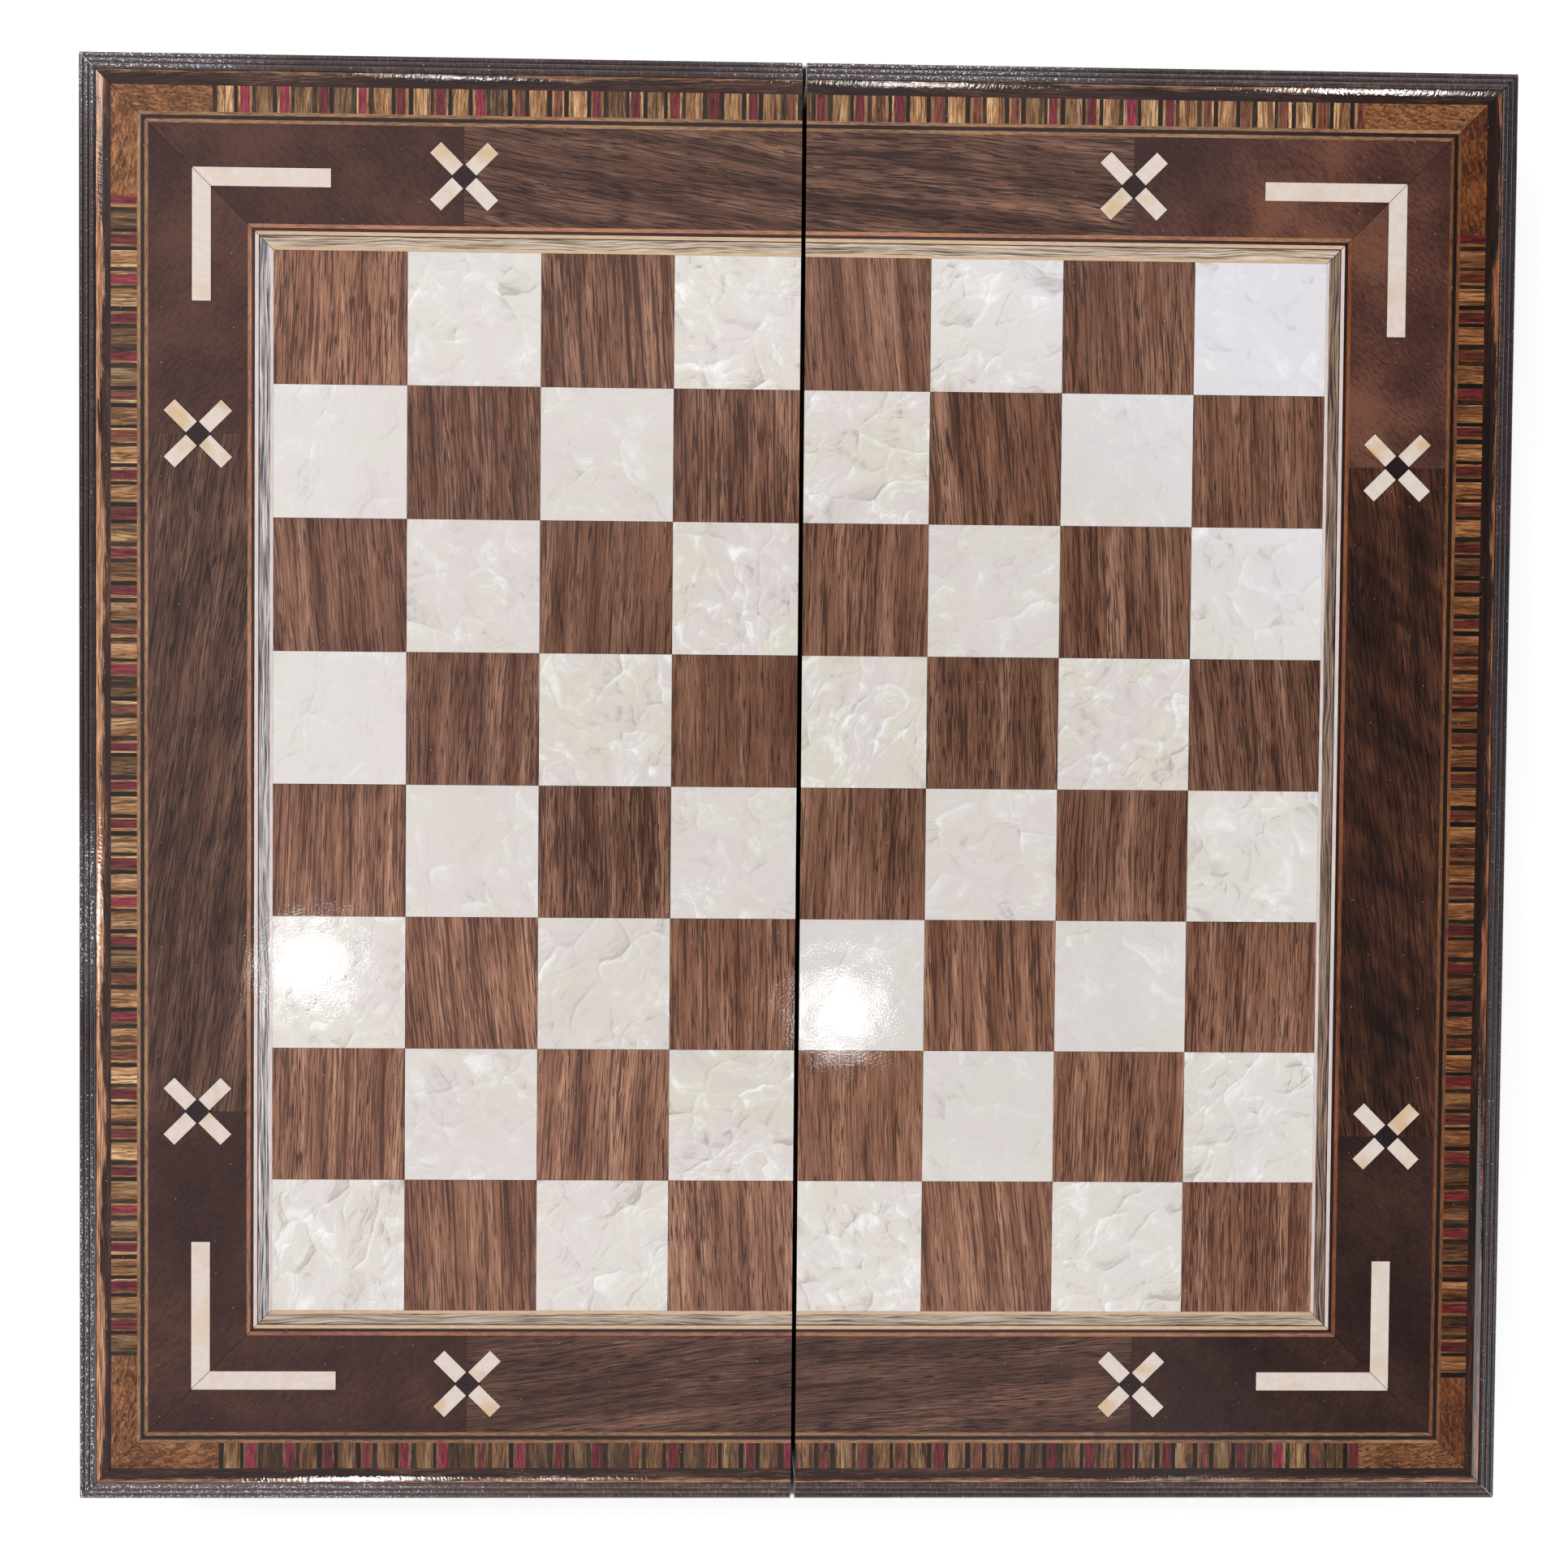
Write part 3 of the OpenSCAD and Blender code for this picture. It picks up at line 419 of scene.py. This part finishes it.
def light_squares():
    """Pearly film, crumpled more in some squares than in others. Its folds are painted with light and
    shade, and its outer squares are painted lighter, as a veil of reflected light.
    """
    p = Paint("pearl_squares")
    p.by_square()
    folded = p.pick(p.smooth(p.chance(1), 0.0, 0.6), 0.55, 1.0)
    u, v = p.turned(p.x, p.y, p.chance(2) * TURN)
    seed = p.chance(3) * 300
    u = u + (p.noise(u * 0.08, v * 0.08, seed + 40, 2) - 0.5) * 9
    v = v + (p.noise(u * 0.08, v * 0.08, seed + 55, 2) - 0.5) * 9
    busy = p.smooth(p.noise(u * 0.06, v * 0.06, seed + 120, 1), 0.36, 0.6)
    large, crease = p.folds(u * 0.11 + seed, v * 0.08)
    small, wrinkle = p.folds(u * 0.28 + seed, v * 0.19)
    ripple = p.noise(u * 0.45, v * 0.14, seed + 80, 3, 0.6)
    # Painted light and shade of the creases, wrinkles and ripples, as if lit from one side
    relief = p.slope(crease * 4.5 + wrinkle * busy * 2 + ripple * 0.7, 1)
    glow = p.smooth(p.noise(u * 0.13, v * 0.13, seed + 140, 2, 0.6), 0.55, 0.78)
    # The folds' painted light and shade, with painted brighter patches, lighten or darken the film
    painted_fold_light = (large * 0.85 + small * busy * 0.8 + relief * 0.75 + glow * 0.8) * folded
    outer = p.math("MAXIMUM", p.absolute(p.x), p.absolute(p.y))
    # Painted veil: the outer squares are painted lighter, as reflected light
    painted_veil = p.smooth(outer, 85, 135) * 0.45
    film = p.smooth(p.x + p.y, 140, 250) * 0.7
    warm = p.smooth(p.noise(p.x * 0.06, p.y * 0.06, seed + 160, 2), 0.42, 0.6)
    flat = p.mix(warm, rgb(223, 214, 209), rgb(223, 216, 202))
    flat = p.mix((1 - folded) * 1.3, flat, rgb(225, 218, 216))
    flat = p.mix(film, p.mix(painted_veil, flat, rgb(238, 233, 228)), rgb(234, 232, 240))
    # Painted highlights towards white, and painted shade towards grey
    colour = p.mix(p.smooth(painted_fold_light, 0.0, 1.6), flat, rgb(253, 252, 251))
    colour = p.mix(p.smooth(painted_fold_light, -0.05, -1.3), colour, rgb(190, 182, 175))
    return p.finish(colour, ripple, 0.1, 0.35, specular=0.4)


def border_corners():
    """Smooth reddish walnut, finely mottled."""
    p = Paint("border_corners")
    p.by_strip()
    p.id = p.id + p.far * 8
    seed = p.chance(1) * 300
    cloud = p.noise(p.x * 0.03, p.y * 0.03, seed, 2, 0.6)
    fleck = p.noise((p.along + p.depth) * 0.35, (p.depth - p.along) * 1.1, seed + 20, 3, 0.7)
    share = p.stretch(cloud * 0.55 + fleck * 0.45, 0.36, 0.64)
    colour = p.ramp(share, (0, rgb(38, 19, 16)), (0.5, rgb(64, 37, 30)), (1, rgb(98, 62, 47)))
    dark = p.smooth(fleck, 0.58, 0.7)
    colour = p.mix(dark * 0.6, colour, rgb(38, 19, 16))
    tone = 0.86 + p.right * p.far * 0.7 - p.right * (1 - p.far) * 0.3
    return p.finish(p.times(colour, tone), dark * -1, 0.02)


def border_middles():
    """Walnut with short dark pores at a slant, and dark bands across them at the right side."""
    p = Paint("border_middles")
    p.by_strip()
    across = p.depth - p.along * p.pick(p.chance(1), 0.08, 0.17)
    tones = [rgb(64, 38, 28), rgb(86, 57, 44), rgb(106, 74, 58), rgb(138, 101, 80)]
    colour, holes = p.wood(p.along, across, p.chance(2) * 300, tones, rgb(22, 10, 9),
                           0.6, 0.55, 5, 0.8)
    figure = p.noise((p.along - p.depth) * 0.09, (p.along + p.depth) * 0.03,
                     p.chance(3) * 90, 2, 0.6)
    strong = p.pick(p.rightmost, 0.5, 1.0)
    tone = 0.96 - p.at_side * 0.1 + (figure - 0.5) * strong * 2.8
    return p.finish(p.times(p.times(colour, p.stain), tone), holes * -1)


def plain_line(name, light, dark):
    """Paint and colour of a thin strip of one wood with short flecks along it."""
    p = Paint(name)
    p.by_strip()
    fleck = p.noise(p.along * 0.35, p.depth * 2.2, p.chance(1) * 90, 3, 0.65)
    slow = p.noise(p.along * 0.03, p.depth * 0.3, p.chance(2) * 90, 2)
    share = p.stretch(fleck * 0.6 + slow * 0.4, 0.34, 0.66)
    return p, p.times(p.mix(share, dark, light), p.stain)


def light_lines():
    """Tan lines beside the banding. The outermost one belongs to the rubbed edge."""
    p, tan = plain_line("light_lines", rgb(188, 144, 104), rgb(92, 58, 44))
    rim = p.edge_wood()[0]
    return p.finish(p.mix(p.above(EDGE_LINE_END, p.depth), tan, rim), relief=p.rubbed())


def black_line():
    p, colour = plain_line("black_line", rgb(54, 36, 28), rgb(16, 8, 6))
    return p.finish(colour)


def edge_strip():
    p = Paint("edge_strip")
    p.by_strip()
    colour, holes = p.edge_wood()
    colour = p.times(colour, 0.95 + p.leftmost * 0.15)
    return p.finish(colour, holes * -1, 0.02, relief=p.rubbed())


def band_tan():
    p = Paint("band_tan")
    p.by_slip(0.7, 6.2, 9.0)
    tones = [rgb(70, 40, 24), rgb(142, 98, 60), rgb(190, 144, 96), rgb(236, 196, 146)]
    colour, holes = p.wood(p.depth * 2, p.along, p.chance(2) * 300, tones, rgb(48, 26, 17),
                           0.57, 0.62, 3, 1.2)
    tone = p.pick(p.smooth(p.chance(3), 0, 0.7), 0.4, 1.15) * (1 - p.nearest * 0.42)
    return p.finish(p.times(p.times(colour, tone), p.stain), holes * -1, 0.02)


def band_black():
    p = Paint("band_black")
    p.by_slip(-2.0, 6.0)
    grain = p.noise(p.depth * 0.3, p.along * 3, p.chance(1) * 90, 2)
    light = p.smooth(p.chance(2), 0.3, 1.0)
    colour = p.mix(p.stretch(grain, 0.35, 0.7) * light, rgb(16, 12, 9), rgb(84, 68, 46))
    return p.finish(p.times(colour, p.stain), grain, 0.02)


def band_red():
    p = Paint("band_red")
    p.by_slip(0.0)
    grain = p.stretch(p.noise(p.depth * 0.18, p.along * 1.8, p.chance(1) * 90, 3, 0.65), 0.34, 0.66)
    wine = p.mix(grain, rgb(44, 12, 18), rgb(132, 48, 56))
    pink = p.mix(grain, rgb(84, 16, 32), rgb(178, 64, 82))
    brown = p.mix(grain, rgb(50, 24, 18), rgb(146, 84, 62))
    colour = p.mix(p.smooth(p.chance(2), 0.55, 0.95), wine, pink)
    colour = p.mix(p.smooth(p.chance(3), 0.55, 0.8), colour, brown)
    return p.finish(p.times(colour, p.stain), grain, 0.02)


def band_corners():
    """Amber burl of short worm-like flecks."""
    p = Paint("band_corners")
    p.by_strip()
    p.id = p.id + p.far * 8
    seed = p.chance(1) * 200
    bend = p.noise(p.along * 0.5, p.depth * 0.5, seed, 1)
    worm = p.noise(p.along * 0.55 + bend * 3, p.depth * 1.5 + bend * 3, seed + 30, 2, 0.6)
    slow = p.noise(p.x * 0.08, p.y * 0.08, seed + 60, 2)
    share = p.stretch(worm * 0.7 + slow * 0.3, 0.34, 0.66)
    colour = p.ramp(share, (0, rgb(52, 24, 12)), (0.45, rgb(116, 72, 40)), (1, rgb(182, 124, 76)))
    return p.finish(p.times(colour, p.stain), worm, 0.02)


def bone(name, stain):
    """Polished bone, yellowed here and there, with fine dark specks."""
    p = Paint(name)
    slow = p.noise(p.x * 0.09, p.y * 0.09, 4.0, 2)
    age = p.smooth(slow, 0.5, 0.7) * stain
    grain = p.noise(p.x * 0.5, p.y * 0.5, 20.0, 3, 0.6)
    colour = p.mix(p.stretch(grain, 0.3, 0.7), rgb(224, 207, 194), rgb(233, 219, 208))
    colour = p.mix(age, colour, rgb(216, 182, 136))
    speck = p.smooth(p.noise(p.x * 1.5, p.y * 1.5, 40.0, 1), 0.74, 0.8)
    colour = p.mix(speck * 0.4, colour, rgb(150, 118, 92))
    return p.finish(colour, grain, 0.01, 0.4, specular=0.4)


def bone_bars():
    return bone("bone_bars", 0.3)


def bone_arms():
    return bone("bone_arms", 0.85)


def diamonds():
    p = Paint("diamonds")
    grain = p.noise(p.x * 0.4, p.y * 2.4, 0.0, 2)
    colour = p.mix(p.stretch(grain, 0.3, 0.7), rgb(22, 11, 14), rgb(40, 26, 30))
    return p.finish(colour, grain, 0.01, 0.45)


def frame_light():
    """Tan line outside, cream lines inside."""
    p, tan = plain_line("frame_light", rgb(196, 140, 104), rgb(116, 70, 52))
    fleck = p.noise(p.along * 0.3, p.depth * 2.5, p.chance(4) * 90, 2)
    beside = p.mix(fleck, rgb(196, 176, 168), rgb(244, 232, 228))
    behind = p.mix(fleck, rgb(184, 148, 114), rgb(236, 208, 176))
    cream = p.mix(p.at_side, behind, beside)
    return p.finish(p.mix(p.above(p.depth, CREAM_START), tan, cream))


def frame_dark():
    p, colour = plain_line("frame_dark", rgb(70, 40, 32), rgb(34, 18, 15))
    return p.finish(colour)


def frame_wood():
    """Grey streaked wood on the outer sides, creamier at the ends."""
    p = Paint("frame_wood")
    p.by_strip()
    across = p.depth + p.along * (p.chance(1) - 0.5) * 0.02
    seed = p.chance(2) * 300
    drift = p.noise(p.along * 0.03, p.depth * 0.1, seed, 2)
    streak = p.noise(p.along * 0.05, (across + drift * 4) * 2.4, seed + 20, 3, 0.75)
    share = p.stretch(streak, 0.36, 0.62)
    grey = p.ramp(share, (0, rgb(36, 33, 38)), (0.4, rgb(130, 124, 126)), (1, rgb(228, 222, 220)))
    cream = p.ramp(share, (0, rgb(74, 58, 44)), (0.35, rgb(162, 140, 118)), (1, rgb(228, 210, 190)))
    colour = p.times(p.mix(p.at_side, cream, grey), p.stain)
    return p.finish(colour, streak, 0.02)


# Places in X and Y where painted glints of lacquer drops lie thickly on the moulding, with a painted
# sheen, how far round them, and how thickly
DROP_GLINT_PLACES = [(-196, -196, 150, 1.25), (-178, 203, 45, 1.1), (32, 196, 75, 1), (-196, -35, 40, 1)]


def moulding():
    """Brown-black reeds under a thick lacquer. The reeds of the ends are painted lighter, as sheen,
    and lacquer drops are painted white, as glints, thickest at a few places.
    """
    p = Paint("moulding")
    p.by_strip()
    grain = p.noise(p.along * 0.1, p.depth * 1.2, p.z * 1.2, 3)
    hatch = p.noise(p.along * 1.6, p.depth * 0.4, p.z * 0.4, 3, 0.7)
    share = p.stretch(grain * 0.4 + hatch * 0.6, 0.36, 0.64)
    dark = p.ramp(share, (0, rgb(22, 12, 14)), (0.6, rgb(44, 30, 31)), (1, rgb(74, 58, 58)))
    pale = p.ramp(share, (0, rgb(50, 34, 32)), (0.6, rgb(88, 68, 62)), (1, rgb(134, 112, 104)))
    nicks = (p.noise(p.along * 1.1, p.depth * 0.7, p.z * 0.7, 3, 0.7) - 0.5) * p.off_mitre
    # Painted sheen: the near and far reeds are painted lighter than the side reeds, as reflected
    # light
    painted_sheen = p.pick(p.nearest, (1 - p.at_side) * 0.35, 1 - p.right * 0.4)
    colour = p.mix(painted_sheen, dark, pale)
    colour = p.mix(p.off_mitre * 0.7 + 0.3, rgb(10, 6, 6), colour)
    thick = 0.12
    for x, y, reach, amount in DROP_GLINT_PLACES:
        away = p.math("SQRT", (p.x - x) * (p.x - x) + (p.y - y) * (p.y - y))
        thick = p.math("MAXIMUM", thick, p.smooth(away, reach, reach * 0.3) * amount)
    level = p.pick(thick, 0.76, 0.61)
    # Painted glints: white specks of lacquer drops that catch the light, gathered on the reeds'
    # crests
    reed_turn = math.tau / REED_PITCH
    crest = p.math("COSINE", (p.depth + REED_R * 1.3) * reed_turn)
    painted_drop_glints = p.noise(p.along * 1.9, p.depth * 2.6, p.z * 2.6, 2, 0.6) + crest * 0.05
    # Painted sheen: lighter where the painted glints lie thickly
    colour = p.mix(thick * 0.25, colour, rgb(120, 112, 116))
    colour = p.mix(p.smooth(painted_drop_glints, level, level + 0.05), colour, rgb(244, 242, 250))
    return p.finish(colour, nicks, 0.08, 0.4, coat_rough=0.1, peel=2, relief=nicks * 0.12)


def wall(name, tones):
    """Stained wood of the walls, with its grain along the wall."""
    p = Paint(name)
    facing = p.split(p.node("ShaderNodeNewGeometry").outputs["True Normal"])
    faces_y = p.above(p.absolute(facing[1]), 0.5)
    along = p.pick(faces_y, p.y, p.x)
    level = p.z + p.pick(faces_y, p.x, p.y) * 0.4
    colour, holes = p.wood(along, level, 7.0, tones, rgb(28, 18, 15), 0.6, 0.66, 4, 0.8)
    return p.finish(colour, holes * -1, coat=0.7, coat_rough=0.2)


def outer_wall():
    return wall("wall", [rgb(44, 27, 21), rgb(66, 42, 32), rgb(84, 56, 43), rgb(104, 72, 55)])


def panel_edge():
    return wall("panel", [rgb(50, 34, 26), rgb(70, 50, 38), rgb(88, 64, 48)])


def lining(name, tones, dark, pores):
    """Veneer inside the trays, seen from below."""
    p = Paint(name)
    p.id = p.right + p.far * 2
    colour, holes = p.wood(p.y, p.x, p.chance(1) * 300, tones, dark, 0.62, pores, 4, 0.8)
    return p.finish(colour, holes * -1, 0.02, coat=0.6, coat_rough=0.22)


def inner_sheet():
    return lining("inner_sheet", [rgb(104, 66, 42), rgb(132, 88, 58), rgb(156, 108, 74)],
                  rgb(70, 42, 28), 0.66)


def dark_points():
    return lining("dark_points", [rgb(46, 28, 22), rgb(66, 42, 32), rgb(86, 58, 44)],
                  rgb(30, 19, 16), 0.66)


def light_points():
    return lining("light_points", [rgb(196, 168, 126), rgb(216, 192, 152), rgb(230, 210, 174)],
                  rgb(160, 128, 88), 0.72)


def brass():
    p = Paint("brass")
    tarnish = p.smooth(p.noise(p.x * 0.25, p.y * 0.25, p.z * 0.25, 3), 0.4, 0.68)
    colour = p.mix(tarnish, rgb(214, 178, 106), rgb(164, 122, 66))
    scratch = p.noise(p.x * 0.6, p.y * 6, p.z * 6, 2)
    rough = p.pick(tarnish, 0.24, 0.42)
    return p.finish(colour, scratch, 0.01, rough, coat=0.0, specular=0.5, metal=1.0)


BRASS = brass()
WALL = outer_wall()
LOOKS = {
    "base_panel": panel_edge(), "outer_wall": WALL, "seam_wall": WALL, "end_walls": WALL,
    "moulding": moulding(), "edge_strip": edge_strip(), "light_lines": light_lines(),
    "black_line": black_line(), "band_tan": band_tan(), "band_black": band_black(),
    "band_red": band_red(), "band_corners": band_corners(), "border_corners": border_corners(),
    "border_middles": border_middles(), "bone_bars": bone_bars(), "bone_arms": bone_arms(),
    "diamonds": diamonds(), "frame_light": frame_light(), "frame_dark": frame_dark(),
    "frame_wood": frame_wood(), "dark_squares": dark_squares(), "light_squares": light_squares(),
    "inner_sheet": inner_sheet(), "dark_points": dark_points(), "light_points": light_points(),
    "hinge_leaves": BRASS, "hinge_screws": BRASS, "hinge_pins": BRASS, "hook_screws": BRASS,
    "latch_pegs": BRASS, "far_hook": BRASS, "near_hook": BRASS,
}
for name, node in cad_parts.items():
    node.material_slots[0].material = LOOKS[name.removeprefix("left_").removeprefix("right_")]


def mitre_glue(body, side):
    """Dark glue in the two mitres of one tray's moulding, a little inside the reeds' outline."""
    inset = 0.15
    r = REED_R - inset
    outline = [(WALL_OUT + inset, inset - MOULD_H), (WALL_OUT + inset, -REED_R)]
    for reed in range(3):
        for degrees in (90, 60, 30, 0):
            angle = math.radians(degrees)
            outline.append((REED_R + reed * REED_PITCH + r * math.cos(angle),
                            r * math.sin(angle) - REED_R - reed * REED_DROP))
    outer = outline[-1][0]
    outline += [(outer, 2 * REED_R - MOULD_H), (outer - REED_R, inset - MOULD_H)]
    points, faces = [], []
    count = len(outline)
    for end in (-1, 1):
        for layer in (0.3, 0.7):
            points += [(side * (EDGE_X + out) / MM,
                        end * (EDGE_Y + out - layer * MITRE_GAP) / MM,
                        (TOP_Z + down) / MM) for out, down in outline]
        back = list(range(len(points) - 2 * count, len(points) - count))
        front = [i + count for i in back]
        faces += [back, front[::-1]]
        faces += [(back[i - 1], back[i], front[i], front[i - 1]) for i in range(count)]
    mesh = bpy.data.meshes.new(body + "_mitre_glue")
    mesh.from_pydata(points, [], faces)
    mesh.materials.append(LOOKS["moulding"])
    piece = bpy.data.objects.new(mesh.name, mesh)
    bpy.context.scene.collection.objects.link(piece)
    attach(piece, body)


# How bright the room is for all that doesn't shine
AMBIENT = 0.6


def make_world():
    """White room. What shines sees it tinted and dimmer, with a dark patch overhead where a
    photographer leans over."""
    world = bpy.data.worlds.new("room")
    bpy.context.scene.world = world
    world.use_nodes = True
    p = Paint.of(world.node_tree)
    way = p.split(p.node("ShaderNodeTexCoord").outputs["Generated"])
    across = (way[0] - 0.2) * 4.2
    ahead = (way[1] + 0.03) * p.pick(p.smooth(way[0], 0.15, 0.28), 6.0, 3.4)
    patch = p.smooth(across * across + ahead * ahead, 2.0, 0.7)
    low = p.smooth(way[2], 0.9, 0.6)
    ends = p.smooth(p.absolute(way[1]), 0.2, 0.6)
    overhead, at_sides, at_ends, in_patch = 0.6, 0.14, 0.42, 0.04
    seen = p.pick(low, overhead, p.pick(ends, at_sides, at_ends))
    seen = p.pick(patch, seen, in_patch)
    rays = p.node("ShaderNodeLightPath")
    glossy = Val(p, rays.outputs["Is Glossy Ray"])
    level = p.pick(glossy, AMBIENT, seen)
    level = p.pick(Val(p, rays.outputs["Is Camera Ray"]), level, 1.0)
    level = p.pick(Val(p, rays.outputs["Is Transmission Ray"]), level, 1.0)
    back = p.node("ShaderNodeBackground")
    film = p.mix(low, (1, 0.74, 0.76, 1), (1, 0.96, 0.96, 1))
    p.put(back.inputs["Color"], p.mix(glossy, (0.97, 0.985, 1, 1), film))
    p.put(back.inputs["Strength"], level)
    out = p.node("ShaderNodeOutputWorld")
    p.put(out.inputs["Surface"], back.outputs[0])


def make_floor():
    """Pale floor, white to the camera but for the shadow. It isn't seen from below.
    Its colour is painted dark, as shade, wherever the board closes it in, as under the seam and just
    past the seam's ends."""
    bpy.ops.mesh.primitive_plane_add(size=9, location=(0, 0, -0.0001))
    floor = bpy.context.object
    floor.name = "floor"
    p = Paint("floor")
    air = p.node("ShaderNodeAmbientOcclusion", samples=32)
    air.inputs["Distance"].default_value = 0.06
    end = CAD_HIGH[1] * MM
    on_seam = p.smooth(p.absolute(p.x - 1), 1.5, 1.0)
    past_wall = p.smooth(p.absolute(p.y), end - 7.5, end - 6)
    in_sight = p.smooth(p.absolute(p.y + 1), end + 9.5, end + 6.5)
    # Painted shade under the seam and just past its ends
    closed_in = on_seam * past_wall * in_sight * 0.25
    clear = p.smooth(Val(p, air.outputs["AO"]) - closed_in, 0.4, 0.5)
    matt = p.node("ShaderNodeBsdfDiffuse")
    # Painted shade: the floor's colour goes dark where the ambient occlusion finds it closed in
    p.put(matt.inputs["Color"], p.mix(clear, rgb(30, 30, 32), (0.8, 0.8, 0.8, 1)))
    by_camera = Val(p, p.node("ShaderNodeLightPath").outputs["Is Camera Ray"])
    glow = p.node("ShaderNodeEmission")
    p.put(glow.inputs["Strength"], p.pick(by_camera, 0.0, clear * 0.5))
    both = p.node("ShaderNodeAddShader")
    p.put(both.inputs[0], matt.outputs[0])
    p.put(both.inputs[1], glow.outputs[0])
    hidden = p.node("ShaderNodeMixShader")
    p.put(hidden.inputs[0], p.node("ShaderNodeNewGeometry").outputs["Backfacing"])
    p.put(hidden.inputs[1], both.outputs[0])
    p.put(hidden.inputs[2], p.node("ShaderNodeBsdfTransparent").outputs[0])
    out = p.node("ShaderNodeOutputMaterial")
    p.put(out.inputs["Surface"], hidden.outputs[0])
    floor.data.materials.append(p.material)


def lamp(name, at, size, radiance):
    """Round soft lamp aimed at the middle of the board, as bright as the radiance of its face."""
    light = bpy.data.lights.new(name, "AREA")
    light.shape = "DISK"
    light.size = size
    light.energy = radiance * math.pi * math.pi * size * size / 4
    holder = bpy.data.objects.new(name, light)
    bpy.context.scene.collection.objects.link(holder)
    holder.location = at
    holder.rotation_euler = Vector(at).to_track_quat("Z", "Y").to_euler()
    return holder


mitre_glue("left_tray", -1)
mitre_glue("right_tray", 1)
make_world()
make_floor()
lamp("key", (-1.7, 1.4, 1.9), 1.6, 5.8)
lamp("fill", (1.8, -1.1, 2.0), 1.6, 2.8)

# Small lamps that only glint, by X, Y, size and radiance
GLINT_HEIGHT = 1.2
ON_THE_BOARD = [(-0.338, -0.178, 0.06, 14), (0.073, -0.212, 0.06, 14)]
ON_THE_FAR_EDGE = [(-0.29, 1.5, 0.06, 50), (0.163, 1.5, 0.1, 30), (0.625, 1.5, 0.11, 50)]
ON_THE_NEAR_EDGE = [(-0.388, -1.65, 0.12, 45), (-0.176, -1.65, 0.06, 25), (0.472, -1.65, 0.06, 10)]
ON_THE_LEFT_EDGE = [(-1.5, -0.186, 0.07, 50)]
GLINTS = ON_THE_BOARD + ON_THE_FAR_EDGE + ON_THE_NEAR_EDGE + ON_THE_LEFT_EDGE
for number, (x, y, size, radiance) in enumerate(GLINTS):
    glint = lamp("glint_" + str(number), (x, y, GLINT_HEIGHT), size, radiance)
    glint.visible_diffuse = False

# The camera was fitted to the photograph's grid of squares and outline
EYE_PLACE = (-0.02147, 0.02118, 0.68151)
EYE_TURN = (-0.0313, -0.02649, 0.0085)
camera = bpy.data.cameras.new("camera")
camera.lens = 53.945
camera.sensor_width = 36
camera.clip_start = 0.01
eye = bpy.data.objects.new("camera", camera)
bpy.context.scene.collection.objects.link(eye)
eye.location = EYE_PLACE
eye.rotation_euler = Euler(EYE_TURN)
bpy.context.scene.camera = eye
bpy.context.scene.view_settings.view_transform = "Standard"
